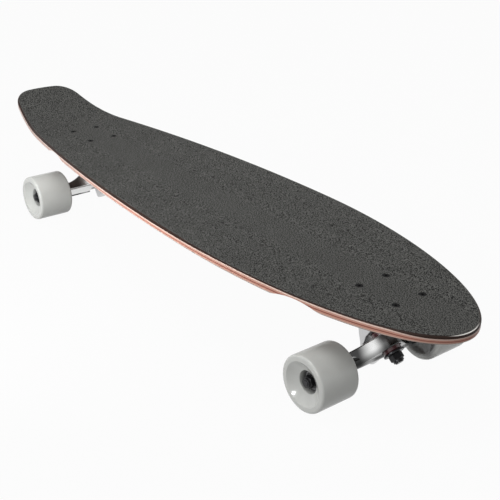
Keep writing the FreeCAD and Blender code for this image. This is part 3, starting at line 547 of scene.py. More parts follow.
@dataclass(frozen=True)
class UrethaneFinish:
    """Cast urethane: even colour with a faint cloud, glossy faces and a ground tread."""

    name: str
    colour: Colour
    cloud: float = 0.10
    cloud_grain: float = 16.0
    cloud_crisp: float = 0.55
    cloud_rough: float = 0.06
    speck_grain: float = 0.9
    speck_tone: float = 0.05
    speck_relief: float = 0.3
    scuff_grain: Spot = (2.0, 0.5, 2.0)
    face_rough: float = 0.17
    tread_rough: float = 0.50
    subsurface: float = 0.10
    subsurface_colour: Colour = (1.0, 0.9, 0.8)
    subsurface_depth: float = 1.5
    painted_shade_strength: float = 0.82
    ground_pitch: float = 0.55
    ground_share: float = 0.5
    ground_relief: float = 0.012
    coat: float = 0.45
    coat_rough: float = 0.07

    def material(self) -> Any:
        """The tread attribute parts the ground tread from the cast faces."""
        shader = Shader(self.name)
        cloud = shader.noise(self.cloud_grain, FINE_DETAIL, self.cloud_crisp)
        speck = shader.noise(self.speck_grain)
        tread = shader.attribute("tread")
        factor = (1.0 - self.cloud / 2) + cloud * self.cloud
        factor = factor + (speck - 0.5) * self.speck_tone
        # Painted shade: the hub's mouth and the inboard dish are darkened.
        colour = shader.shade(self.colour, factor * (1.0 - shader.attribute("painted_shade") * self.painted_shade_strength))
        lines = (shader.axis("Y") * (math.tau / self.ground_pitch)).sine()
        scuff = shader.noise(self.scuff_grain)
        ground = (lines * self.ground_share + scuff) * tread
        rough = self.face_rough + tread * (self.tread_rough - self.face_rough)
        return shader.finish(
            Base_Color=colour,
            Roughness=rough + cloud * self.cloud_rough,
            Normal=shader.bump(ground + speck * self.speck_relief, self.ground_relief),
            Subsurface_Weight=self.subsurface,
            Subsurface_Radius=self.subsurface_colour,
            Subsurface_Scale=self.subsurface_depth * MM,
            Coat_Weight=self.coat,
            Coat_Roughness=self.coat_rough,
        )


@dataclass(frozen=True)
class MetalFinish:
    """Metal with fine working marks that run one way, and a faint cloud in its gloss."""

    name: str
    colour: Colour
    rough: float
    marks: Spot
    metallic: float = 1.0
    mark_relief: float = 0.006
    mark_tone: float = 0.10
    cloud_grain: float = 11.0
    cloud_rough: float = 0.10

    def tone(self, shader: Shader) -> Any:
        """Share of the colour that the surface keeps."""
        return 1.0

    def material(self) -> Any:
        """Marks shade the colour and the relief; the cloud shifts the roughness."""
        shader = Shader(self.name)
        marks = shader.noise(self.marks, roughness=CRISP)
        cloud = shader.noise(self.cloud_grain)
        worked = (1.0 - self.mark_tone / 2) + marks * self.mark_tone
        colour = shader.shade(self.colour, worked * self.tone(shader))
        relief = shader.bump(marks, self.mark_relief)
        rough = self.rough + (cloud - 0.5) * self.cloud_rough + (marks - 0.5) * self.cloud_rough
        return shader.finish(
            Base_Color=colour,
            Roughness=rough,
            Normal=relief,
            Metallic=self.metallic,
        )


@dataclass(frozen=True)
class WingFinish(MetalFinish):
    """Casting with a painted highlight on each wing, painted shade round it and a painted highlight on the
    axle tube.
    """

    painted_shade_share: float = 0.07
    ring: float = 0.20
    ring_end: float = 12.5
    painted_highlight_peak: float = 22.5
    painted_shade_full: float = 39.0
    board_face: Span = (-9.8, -8.6)
    board_painted_light: float = 0.22
    road_fall: Span = (-1.0, 6.5)
    road_painted_shade: float = 0.65
    axle_middle: float = 33.0
    axle_reach: float = 312.7
    axle_height: float = 33.0
    steer_tilt: float = 0.601815
    tube_radius: float = 9.0
    tube_side: Span = (-4.0, -1.0)
    tube_low: Span = (-8.5, -6.5)
    tube_skin: Span = (0.25, 0.45)
    tube_painted_highlight: float = 0.85

    def tone(self, shader: Shader) -> Value:
        """Share of the colour, by place on the hanger: painted highlights and painted shade.

        The painted shine rises from the ring and falls, as painted shade, towards the wheel and the road.
        The tube gets a painted highlight on its board side and its underside.

        Args:
            shader: The material.

        Returns:
            The share.
        """
        out = shader.axis("Y").size()
        along = (shader.axis("X") - self.axle_middle).size() - self.axle_reach
        up = shader.axis("Z") - self.axle_height
        level = math.sqrt(1.0 - self.steer_tilt**2)
        across = along * level - up * self.steer_tilt
        height = along * self.steer_tilt + up * level
        # Painted highlight on the wing, with painted shade at the ring, towards the wheel and towards the
        # road.
        shine = self.ring + out.above(self.ring_end, self.painted_highlight_peak) * (1.0 - self.ring)
        shine = shine * (1.0 - out.above(self.painted_highlight_peak, self.painted_shade_full) * (1.0 - self.painted_shade_share))
        shine = shine * (1.0 - across.above(*self.road_fall) * self.road_painted_shade)
        shine = shine + (1.0 - across.above(*self.board_face)) * self.board_painted_light
        # Painted highlight on the axle tube's board side and underside.
        away = ((along * along + up * up) ** 0.5 - self.tube_radius).size()
        lit = 1.0 - across.above(*self.tube_side) * height.above(*self.tube_low)
        lit = lit * (1.0 - away.above(*self.tube_skin))
        return shine * (1.0 - lit) + lit * self.tube_painted_highlight


@dataclass(frozen=True)
class MouldedFinish:
    """Moulded rubber or nylon with a fine matt grain."""

    name: str
    colour: Colour
    rough: float
    grain: float = 0.35
    relief: float = 0.01
    tone: float = 0.18
    wide: float = 6.0
    grain_rough: float = 0.16
    coat: float = 0.0
    coat_rough: float = 0.2
    specular: float = 0.5

    def material(self) -> Any:
        """Fine noise for the grain, and a wide one for the tone."""
        shader = Shader(self.name)
        grain = shader.noise(self.grain)
        wide = shader.noise(self.wide)
        colour = shader.shade(self.colour, (1.0 - self.tone / 2) + wide * self.tone)
        relief = shader.bump(grain, self.relief)
        rough = self.rough + (grain - 0.5) * self.grain_rough
        return shader.finish(
            Base_Color=colour,
            Roughness=rough,
            Normal=relief,
            Coat_Weight=self.coat,
            Coat_Roughness=self.coat_rough,
            Specular_IOR_Level=self.specular,
        )


@dataclass
class Finishes:
    """One material for each surface, made once."""

    deck_thickness: float
    grip: Any = field(init=False)
    laminate: Any = field(init=False)
    wheel: Any = field(init=False)
    bushing: Any = field(init=False)
    casting: Any = field(init=False)
    wing: Any = field(init=False)
    steel: Any = field(init=False)
    race: Any = field(init=False)
    dark_race: Any = field(init=False)
    black: Any = field(init=False)
    seal: Any = field(init=False)
    nylon: Any = field(init=False)
    cup: Any = field(init=False)
    bolt: Any = field(init=False)

    def __post_init__(self) -> None:
        """Make every material."""
        self.grip = GripFinish().material()
        self.laminate = LaminateFinish(self.deck_thickness).material()
        self.wheel = UrethaneFinish("grey_urethane", colour=(0.485, 0.492, 0.472)).material()
        self.bushing = UrethaneFinish(
            "maroon_urethane", colour=(0.052, 0.009, 0.012), subsurface=0.0, face_rough=0.34
        ).material()
        cast = {"marks": (0.35, 5.0, 0.35), "mark_relief": 0.002}
        self.casting = MetalFinish(
            "satin_casting", colour=(0.56, 0.562, 0.566), rough=0.30, **cast
        ).material()
        # The hanger's bright and dark places are painted highlights and painted shade.
        self.wing = WingFinish("casting_with_painted_shine", colour=(0.86, 0.865, 0.86), rough=0.24, **cast).material()
        ground = {"marks": (0.3, 0.3, 0.3)}
        self.race = MetalFinish("ground_race", colour=(0.74, 0.75, 0.77), rough=0.14, **ground).material()
        # Bearing races much darker than bare steel.
        self.dark_race = MetalFinish(
            "dark_steel_race", colour=(0.16, 0.16, 0.165), rough=0.24, **ground
        ).material()
        self.steel = MetalFinish(
            "turned_steel", colour=(0.60, 0.61, 0.63), rough=0.26, marks=(0.4, 0.4, 0.4)
        ).material()
        self.black = MetalFinish(
            "black_oxide",
            colour=(0.020, 0.020, 0.022),
            rough=0.34,
            marks=(0.5, 0.5, 0.5),
            metallic=0.55,
            mark_tone=0.4,
        ).material()
        self.seal = MouldedFinish("black_seal", colour=(0.012, 0.012, 0.013), rough=0.36, coat=0.2).material()
        self.nylon = MouldedFinish("pale_nylon", colour=(0.55, 0.54, 0.50), rough=0.42).material()
        self.cup = MouldedFinish("black_cup", colour=(0.022, 0.022, 0.022), rough=0.55).material()
        self.bolt = MouldedFinish(
            "blacked_bolt", colour=(0.006, 0.006, 0.006), rough=0.7, specular=0.08
        ).material()


@dataclass
class Frame:
    """Place and directions of a turned piece; its own Z is the axis it is turned round."""

    origin: np.ndarray
    turn: np.ndarray

    def put(self, points: np.ndarray) -> np.ndarray:
        """Move points from the frame to the board.

        Args:
            points: Array whose last axis holds x, y and z.

        Returns:
            The points in the board's frame.
        """
        return points @ self.turn.T + self.origin

    def lifted(self, height: float) -> "Frame":
        """The frame moved along its own Z."""
        return Frame(self.origin + self.turn[:, 2] * height, self.turn)


def rotation(axis: str, degrees: float) -> np.ndarray:
    """Rotation matrix about a main axis.

    Args:
        axis: "X", "Y" or "Z".
        degrees: The angle.

    Returns:
        The 3 by 3 matrix.
    """
    return np.array(Matrix.Rotation(math.radians(degrees), 3, axis))


def rounded_path(corners: Sequence[tuple[float, float, float]], steps: int = 5) -> np.ndarray:
    """Polyline with rounded corners: each is a quadratic curve between its two tangent points.

    Args:
        corners: Radius, height and rounding of each corner; the ends have no rounding.
        steps: Points on each corner.

    Returns:
        Array of radius and height.
    """
    spots = np.array(corners, float)
    runs = [spots[:1, :2]]
    for before, corner, after in zip(spots[:-2], spots[1:-1], spots[2:]):
        inward = before[:2] - corner[:2]
        onward = after[:2] - corner[:2]
        reach = min(np.linalg.norm(inward), np.linalg.norm(onward)) * CORNER_SHARE
        inward = inward / np.linalg.norm(inward)
        onward = onward / np.linalg.norm(onward)
        half = math.acos(float(np.clip(inward @ onward, -1.0, 1.0))) / 2
        back = min(corner[2] / math.tan(half) if half > 0 else 0.0, reach)
        if back <= 0:
            runs.append(corner[None, :2])
            continue
        share = np.linspace(0.0, 1.0, steps)[:, None]
        start = corner[:2] + inward * back
        end = corner[:2] + onward * back
        bulge = 2 * share * (1 - share) * corner[:2]
        runs.append((1 - share) ** 2 * start + bulge + share**2 * end)
    runs.append(spots[-1:, :2])
    return np.concatenate(runs)


def grid_faces(shape: tuple[int, int], wrap: bool, start: int = 0) -> np.ndarray:
    """Four-cornered faces of a grid, numbered row by row.

    Args:
        shape: Rows and columns of the grid's points.
        wrap: True where the last row joins the first.
        start: Number of the grid's first point.

    Returns:
        Array of faces.
    """
    rows, columns = shape
    index = np.arange(rows * columns).reshape(shape) + start
    following = np.roll(index, -1, axis=0)
    if not wrap:
        index, following = index[:-1], following[:-1]
    corners = (index[:, :-1], following[:, :-1], following[:, 1:], index[:, 1:])
    return np.stack([corner.ravel() for corner in corners], axis=1)


def turned(profile: np.ndarray, frame: Frame, segments: int = 72) -> np.ndarray:
    """Surface of revolution: radius and height of the profile, carried round the frame's Z.

    Args:
        profile: Array of radius and height.
        frame: Where it stands.
        segments: Steps round the axis.

    Returns:
        Grid of points, round by along.
    """
    angle = np.linspace(0.0, math.tau, segments, endpoint=False)[:, None]
    radius, height = profile[:, 0][None], profile[:, 1][None]
    local = np.stack(
        [radius * np.cos(angle), radius * np.sin(angle), np.broadcast_to(height, (segments, len(profile)))],
        axis=-1,
    )
    return frame.put(local)


def build(
    name: str,
    grids: Sequence[np.ndarray],
    material: Any,
    marks: dict[str, Sequence[np.ndarray]] | None = None,
    faces: Sequence[np.ndarray] | None = None,
) -> Any:
    """Put grids of points into one mesh, merge its seams and turn its faces outwards.

    Args:
        name: The piece's name.
        grids: Grids that wrap along their rows, or loose points where faces are given.
        material: The finish.
        marks: Numbers to keep on the points, one array for each grid.
        faces: Faces of all the grids, where they aren't plain wrapped grids.

    Returns:
        The object.
    """
    points = np.concatenate([grid.reshape(-1, 3) for grid in grids]) * MM
    if faces is None:
        starts = np.cumsum([0] + [grid.shape[0] * grid.shape[1] for grid in grids])
        faces = [grid_faces(grid.shape[:2], True, start) for grid, start in zip(grids, starts)]
    mesh = bpy.data.meshes.new(name)
    mesh.from_pydata(points.tolist(), [], np.concatenate(faces).tolist())
    for mark, arrays in (marks or {}).items():
        layer = mesh.attributes.new(mark, "FLOAT", "POINT")
        layer.data.foreach_set("value", np.concatenate([a.ravel() for a in arrays]).astype(np.float32))
    work = bmesh.new()
    work.from_mesh(mesh)
    bmesh.ops.remove_doubles(work, verts=work.verts, dist=MERGE_DISTANCE)
    bmesh.ops.dissolve_degenerate(work, edges=work.edges, dist=MERGE_DISTANCE / 2)
    bmesh.ops.recalc_face_normals(work, faces=work.faces)
    work.to_mesh(mesh)
    work.free()
    mesh.polygons.foreach_set("use_smooth", np.ones(len(mesh.polygons), bool))
    mesh.set_sharp_from_angle(angle=SHARP_ANGLE)
    mesh.materials.append(material)
    piece = bpy.data.objects.new(name, mesh)
    bpy.context.scene.collection.objects.link(piece)
    return piece


def settle(piece: Any, body: str, slot: str, *nodes: str) -> None:
    """Let a piece ride on a body and stand for solid nodes, if any.

    Args:
        piece: The object.
        body: The body it moves with.
        slot: The record's material slot; not used.
        nodes: The nodes it stands for.
    """
    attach(piece, body)
    if nodes:
        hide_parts(*nodes)
    LOG.info("%s rides on %s", piece.name, body)


@dataclass
class Deck:
    """Laminated deck with concave, kicktail and wheel wells, and the grip sheet on it."""

    length: float = 926.0
    width: float = 234.4
    thickness: float = 9.8
    top: float = 112.3
    nose_length: float = 330.0
    side_radius: float = 2626.0
    tail_corner: float = 37.6
    tail_end: float = 218.0
    concave: float = 980.0
    kick_x: float = -327.0
    kick_radius: float = 280.0
    kick_angle: float = math.radians(25.9)
    edge_round: float = 2.4
    well_centres: Span = (310.0, -244.0)
    well_radius: float = 88.0
    well_depth: float = 6.3
    well_fade: float = 58.0
    well_soft: float = 0.35
    well_blend: float = 4.0
    spine_share: float = 0.93
    grip: float = 0.7
    grip_inset: float = 2.4
    grip_file: float = 1.6
    grip_rows: tuple[float, ...] = (0.0, 0.15, 0.4, 0.8, 1.4, 2.4, 4.0)
    bolt_places: tuple[Span, ...] = ((353.0, 27.0), (-287.0, 27.0))
    bolt_across: float = 20.65
    hole_radius: float = 4.5
    pocket_radius: float = 4.7
    pocket_depth: float = 4.0
    pocket_wall: float = 0.1
    pocket_rings: tuple[float, ...] = (0.0, 0.2, 0.5, 1.0)
    hole_rings: int = 7
    hole_ease: float = 1.4
    hole_window: float = 9.0
    hole_press: float = 0.22
    press_reach: float = 2.0
    arc_steps: int = 400
    outline_steps: int = 640
    face_rows: int = 30
    rim_steps: int = 8
    wall_rows: int = 12

    @property
    def nose(self) -> float:
        """Half of the length."""
        return self.length / 2

    @property
    def widest(self) -> float:
        """Where along X the deck is widest."""
        return self.nose - self.nose_length

    def outline(self) -> np.ndarray:
        """Closed plan outline: elliptical nose, long side arcs, rounded corners and a tail arc.

        Returns:
            Points spaced evenly along the edge, anticlockwise from the nose tip.
        """
        half = self.width / 2
        side = np.array([self.widest, half - self.side_radius])
        tail = np.array([self.tail_end - self.nose, 0.0])
        near, far = self.side_radius - self.tail_corner, self.tail_end - self.tail_corner
        gap = tail - side
        apart = np.linalg.norm(gap)
        along = (near**2 - far**2 + apart**2) / (2 * apart)
        off = math.sqrt(near**2 - along**2)
        line = gap / apart
        square = np.array([line[1], -line[0]]) * off
        corner = min((side + line * along + square, side + line * along - square), key=lambda s: s[0])
        side_angle = math.atan2(*(corner - side)[::-1])
        tail_angle = math.atan2(*(corner - tail)[::-1])
        share = np.linspace(0.0, 1.0, self.arc_steps)

        def arc(middle: np.ndarray, radius: float, start: float, end: float) -> np.ndarray:
            """Points on an arc."""
            angle = start + (end - start) * share
            return middle + radius * np.stack([np.cos(angle), np.sin(angle)], axis=1)

        angle = share * math.pi / 2
        nose = np.stack([self.widest + self.nose_length * np.cos(angle), half * np.sin(angle)], axis=1)
        left = np.concatenate(
            [
                nose,
                arc(side, self.side_radius, math.pi / 2, side_angle)[1:],
                arc(corner, self.tail_corner, side_angle, tail_angle)[1:],
                arc(tail, self.tail_end, tail_angle, math.pi)[1:],
            ]
        )
        loop = np.concatenate([left, left[-2::-1] * np.array([1.0, -1.0])])
        run = np.concatenate([[0.0], np.cumsum(np.linalg.norm(np.diff(loop, axis=0), axis=1))])
        even = np.linspace(0.0, run[-1], self.outline_steps, endpoint=False)
        return np.stack([np.interp(even, run, loop[:, axis]) for axis in (0, 1)], axis=1)

    def height(self, plan: np.ndarray, depth: Any) -> np.ndarray:
        """Height of the sheet at a depth: an arc across, rolled up round an arc behind the kick line.

        Args:
            plan: Array whose last axis holds x and y.
            depth: Depth below the top, in millimetres.

        Returns:
            Heights.
        """
        x, y = plan[..., 0], plan[..., 1]
        level = self.top + self.concave - np.sqrt((self.concave + depth) ** 2 - y**2)
        pivot = self.top + self.kick_radius
        reach = pivot - level
        behind = np.clip(self.kick_x - x, 0.0, None)
        bent = reach * math.sin(self.kick_angle)
        angle = np.arcsin(np.clip(behind / reach, 0.0, math.sin(self.kick_angle)))
        rolled = pivot - reach * np.cos(angle)
        straight = np.clip(behind - bent, 0.0, None) * math.tan(self.kick_angle)
        return rolled + straight

    def well(self, plan: np.ndarray) -> np.ndarray:
        """Height of the wheel wells' slanted cylinders, far below the deck outside them.

        Args:
            plan: Array whose last axis holds x and y.

        Returns:
            Heights.
        """
        x, y = plan[..., 0], np.abs(plan[..., 1])
        bend = self.concave + self.thickness
        low = self.top + self.concave
        result = np.zeros(x.shape)
        for centre in self.well_centres:
            ahead = centre - self.widest
            if ahead > 0:
                edge = self.width / 2 * math.sqrt(1 - (ahead / self.nose_length) ** 2)
            else:
                edge = self.width / 2 - self.side_radius + math.sqrt(self.side_radius**2 - ahead**2)
            edge_z = low - math.sqrt(bend**2 - edge**2) + self.well_depth
            fade_z = low - math.sqrt(bend**2 - self.well_fade**2)
            slope = math.atan2(edge_z - fade_z, edge - self.well_fade)
            across = np.clip(self.well_radius**2 - (x - centre) ** 2, 0.0, None)
            base_y = self.well_fade + self.well_radius * math.sin(slope)
            base_z = fade_z - self.well_radius * math.cos(slope)
            rise = (np.sqrt(across) + (y - base_y) * math.sin(slope)) / math.cos(slope)
            result = np.maximum(result, np.where(across > 0, base_z + rise, 0.0))
        return result

    def drop(self, inset: np.ndarray) -> np.ndarray:
        """How far the rounded rim has dropped at an inset from the edge."""
        past = np.clip(self.edge_round - inset, 0.0, self.edge_round)
        return self.edge_round - np.sqrt(self.edge_round**2 - past**2)

    def rows(self, insets: np.ndarray) -> np.ndarray:
        """Plan grid: the outline moved in by each inset, then straight to a spine on the middle line.

        Args:
            insets: Distances from the edge for the rows beside the edge.

        Returns:
            Grid of x and y, round by inwards.
        """
        loop = self.outline()
        along = np.roll(loop, -1, axis=0) - np.roll(loop, 1, axis=0)
        along /= np.linalg.norm(along, axis=1, keepdims=True)
        inward = np.stack([-along[:, 1], along[:, 0]], axis=1)
        rim = loop[:, None] + inward[:, None] * insets[None, :, None]
        spine = loop * np.array([self.spine_share, 0.0])
        share = np.linspace(0.0, 1.0, self.face_rows + 1)[1:]
        face = rim[:, -1:] + (spine[:, None] - rim[:, -1:]) * share[None, :, None]
        return np.concatenate([rim, face], axis=1)

    def laminate(self, finishes: Finishes) -> Any:
        """Closed deck: a top with a pocket for each bolt, a rounded rim, a wall and a hollowed underside.

        Args:
            finishes: The materials.

        Returns:
            The deck.
        """
        bend = np.linspace(0.0, math.pi / 2, self.rim_steps)
        rim = self.edge_round * (1 - np.sin(bend))
        fall = self.edge_round * (1 - np.cos(bend))
        plan = self.rows(rim[::-1])[:, ::-1]
        depth = np.concatenate([np.zeros(plan.shape[1] - len(rim)), fall])
        wide = self.pocket_radius
        floor = [(0.0, 0.0), (0.0, wide - self.pocket_wall)]
        rings = np.array(floor + [(share, wide) for share in self.pocket_rings])
        flat, faces = self.windows(plan, rings)
        inside = self.spread(flat) < wide - self.pocket_wall / 2
        sunk = np.where(inside, self.pocket_depth, 0.0)
        sunk[: plan.shape[0] * plan.shape[1]] = np.tile(depth, plan.shape[0])
        top = np.concatenate([flat, self.height(flat, sunk)[:, None]], axis=1)
        wall = np.linspace(self.edge_round, self.thickness - self.edge_round, self.wall_rows)[:-1]
        low_plan = np.concatenate([np.repeat(plan[:, -1:], len(wall), axis=1), plan[:, ::-1]], axis=1)
        low_depth = np.concatenate([wall, self.thickness - depth[::-1]])[None]
        z = self.height(low_plan, low_depth)
        cut = self.well(low_plan)
        soft = np.sqrt((z - cut) ** 2 + self.well_soft**2)
        near = cut - z > -self.well_blend * self.well_soft
        lifted = np.where(near, (z + cut + soft) / 2, z)
        z = np.where(low_depth > self.edge_round, lifted, z)
        ply = np.hypot(low_plan[..., 1], self.top + self.concave - z) - self.concave
        ply = np.where(low_plan[..., 0] > self.kick_x, ply, low_depth)
        low = np.concatenate([low_plan, z[..., None]], axis=-1)
        faces.append(grid_faces(low.shape[:2], True, len(top)))
        return build("laminated_deck", [top, low], finishes.laminate, {"ply_depth": [sunk, ply]}, faces)

    def bolt_spots(self) -> np.ndarray:
        """Plan places of the eight bolts."""
        return np.array(
            [
                (middle + along * reach, across * self.bolt_across)
                for middle, reach in self.bolt_places
                for along in (1.0, -1.0)
                for across in (1.0, -1.0)
            ]
        )

    def windows(self, plan: np.ndarray, rings: np.ndarray) -> tuple[np.ndarray, list[np.ndarray]]:
        """Cut a window round each bolt out of a grid that wraps, and fill it with rings.

        Each ring lies between the window's corners, at 1, and the bolt's middle, at 0.

        Args:
            plan: Grid of x and y.
            rings: For each ring, its share of the way out to the window and its least radius.

        Returns:
            Loose plan points and the faces on them.
        """
        shape = plan.shape[:2]
        keep = np.ones((shape[0], shape[1] - 1), bool)
        order = np.arange(shape[0] * shape[1]).reshape(shape)
        parts = [plan.reshape(-1, 2)]
        faces = []
        start = len(parts[0])
        for spot in self.bolt_spots():
            near = np.linalg.norm(plan - spot, axis=-1) < self.hole_window
            first, last = np.flatnonzero(near.any(axis=1))[[0, -1]]
            low, high = np.flatnonzero(near.any(axis=0))[[0, -1]]
            keep[first:last, low:high] = False
            loop = np.concatenate(
                [
                    order[first:last, low],
                    order[last, low:high],
                    order[last:first:-1, high],
                    order[first, high:low:-1],
                ]
            )
            away = parts[0][loop] - spot
            reach = np.linalg.norm(away, axis=1, keepdims=True)
            radius = rings[:, 1, None, None] + rings[:, 0, None, None] * (reach - rings[:, 1, None, None])
            parts.append((spot + away / reach * radius).reshape(-1, 2))
            index = np.arange(len(rings) * len(loop)).reshape(len(rings), len(loop)) + start
            turn = np.roll(index, -1, axis=1)
            corners = (index[:-1], turn[:-1], turn[1:], index[1:])
            faces.append(np.stack([corner.ravel() for corner in corners], axis=1))
            start += index.size
        kept = grid_faces(shape, True).reshape(shape[0], shape[1] - 1, 4)[keep]
        return np.concatenate(parts), [kept, *faces]

    def spread(self, flat: np.ndarray) -> np.ndarray:
        """Distance of plan points from the nearest bolt."""
        return np.linalg.norm(flat[:, None] - self.bolt_spots()[None], axis=-1).min(axis=1)

    def sheet(self, finishes: Finishes) -> Any:
        """Grip sheet: the top rows with a window round each bolt, filled by rings down to its hole.

        Args:
            finishes: The materials.

        Returns:
            The sheet.
        """
        insets = self.grip_inset + np.array(self.grip_rows)
        plan = self.rows(insets)
        share = np.linspace(0.0, 1.0, self.hole_rings) ** self.hole_ease
        rings = np.stack([share, np.full(len(share), self.hole_radius)], axis=1)
        flat, faces = self.windows(plan, rings)
        inset = np.full(len(flat), self.width)
        inset[: plan.shape[0] * plan.shape[1]].reshape(plan.shape[:2])[:, : len(insets)] = insets
        press = np.clip(1 - (self.spread(flat) - self.hole_radius) / self.press_reach, 0.0, 1.0) ** 2
        z = self.height(flat, self.drop(inset) - self.grip + self.hole_press * press)
        filed = np.clip(1 - (inset - self.grip_inset) / self.grip_file, 0.0, 1.0) ** 2
        points = np.concatenate([flat, z[:, None]], axis=1)
        piece = build("grip_sheet", [points], finishes.grip, {"filed": [filed]}, faces)
        # The thickness goes against the normals, so the open sheet's faces have to look up.
        if piece.data.polygons[0].normal.z < 0:
            piece.data.flip_normals()
        thick = piece.modifiers.new("sheet", "SOLIDIFY")
        thick.thickness = self.grip * MM
        thick.offset = -1.0
        return piece

    def dress(self, finishes: Finishes) -> None:
        """Make the deck and its grip sheet."""
        settle(self.laminate(finishes), "board", "maple", "deck")
        settle(self.sheet(finishes), "board", "grip", "grip_tape")


@dataclass
class LockNut:
    """Hexagonal lock nut: six flats under two bevel cones, a crimped collar and a nylon ring."""

    width: float
    height: float
    collar_radius: float
    collar_height: float
    bore: float
    bevel_share: float = 0.96
    bevel_slope: float = math.tan(math.radians(30.0))
    seat_share: float = 0.9
    crimp: float = 0.55
    collar_foot: float = 0.25
    mouth_wall: float = 0.9
    mouth_round: float = 0.15
    ring_share: float = 0.6
    ring_fit: float = 0.05
    ring_drop: float = 0.2
    ring_round: float = 0.3
    flat_steps: int = 10
    bevel_rows: int = 6
    ring_segments: int = 48

    @property
    def ring_seat(self) -> float:
        """Height of the nylon ring's underside."""
        return self.height + self.collar_height * self.ring_share

    def body(self, frame: Frame) -> np.ndarray:
        """The radius is the lesser of a hexagon round the axis and a limit that each row sets.

        Args:
            frame: The nut's seat, with Z through the nut.

        Returns:
            Grid of points.
        """
        flat = self.width / 2
        corner = flat / math.cos(math.pi / 6)
        inner = flat * self.bevel_share
        rise = (corner - inner) * self.bevel_slope
        share = np.linspace(0.0, 1.0, self.bevel_rows)
        limits = inner + (corner - inner) * share
        top = self.height + self.collar_height
        mouth = self.bore + self.mouth_wall
        rows = np.concatenate(
            [
                np.array([[self.bore, 0.0], [inner * self.seat_share, 0.0]]),
                np.stack([limits, rise * share], axis=1),
                np.stack([limits[::-1], self.height - rise * share[::-1]], axis=1),
                rounded_path(
                    [
                        (self.collar_radius + self.collar_foot, self.height, 0.0),
                        (self.collar_radius, self.height, self.collar_foot),
                        (self.collar_radius, top, self.crimp),
                        (mouth, top, self.mouth_round),
                        (mouth, self.ring_seat, 0.0),
                        (self.bore, self.ring_seat, 0.0),
                        (self.bore, 0.0, 0.0),
                    ]
                ),
            ]
        )
        steps = 6 * self.flat_steps
        angle = np.linspace(0.0, math.tau, steps, endpoint=False)[:, None]
        sector = math.pi / 3
        hexagon = flat / np.cos((angle % sector) - sector / 2)
        radius = np.minimum(rows[:, 0][None], hexagon)
        height = np.broadcast_to(rows[:, 1][None], radius.shape)
        return frame.put(np.stack([radius * np.cos(angle), radius * np.sin(angle), height], axis=-1))

    def ring(self, frame: Frame) -> np.ndarray:
        """Nylon ring inside the collar.

        Args:
            frame: The nut's seat.

        Returns:
            Grid of points.
        """
        low = self.ring_seat
        high = self.height + self.collar_height - self.ring_drop
        inner = self.bore + self.ring_fit
        outer = self.bore + self.mouth_wall - self.ring_fit
        path = rounded_path(
            [
                (inner, low, 0.0),
                (outer, low, self.ring_fit),
                (outer, high, self.ring_drop),
                (inner, high, self.ring_round),
                (inner, low, 0.0),
            ]
        )
        return turned(path, frame, self.ring_segments)


@dataclass
class Thread:
    """Rod with a screw thread at one end or both."""

    radius: float
    pitch: float
    depth: float
    bevel: float
    rows_per_turn: int = 6
    segments: int = 28

    def grid(self, low: float, high: float, threads: Sequence[Span], frame: Frame) -> np.ndarray:
        """The radius falls by a triangle wave of height less angle along each threaded stretch.

        Args:
            low: Height of the lower end.
            high: Height of the upper end.
            threads: Lower and upper height of each threaded stretch.
            frame: The rod's frame.

        Returns:
            Grid of points.
        """
        fine = self.pitch / self.rows_per_turn
        stretches = [np.arange(start, end, fine) for start, end in threads]
        ends = np.array([low, low + self.bevel, high - self.bevel, high])
        height = np.unique(np.concatenate([*stretches, ends]))
        height = np.concatenate([[low], height, [high]])
        angle = np.linspace(0.0, math.tau, self.segments, endpoint=False)[:, None]
        wave = np.abs(((height[None] / self.pitch - angle / math.tau) % 1.0) * 2 - 1)
        inside = np.zeros(len(height), bool)
        for start, end in threads:
            inside |= (height >= start) & (height <= end)
        limit = self.radius - np.clip(self.bevel - np.minimum(height - low, high - height), 0.0, None)
        radius = np.minimum(self.radius - self.depth * wave * inside[None], limit[None])
        radius[:, [0, -1]] = 0.0
        tall = np.broadcast_to(height[None], radius.shape)
        return frame.put(np.stack([radius * np.cos(angle), radius * np.sin(angle), tall], axis=-1))


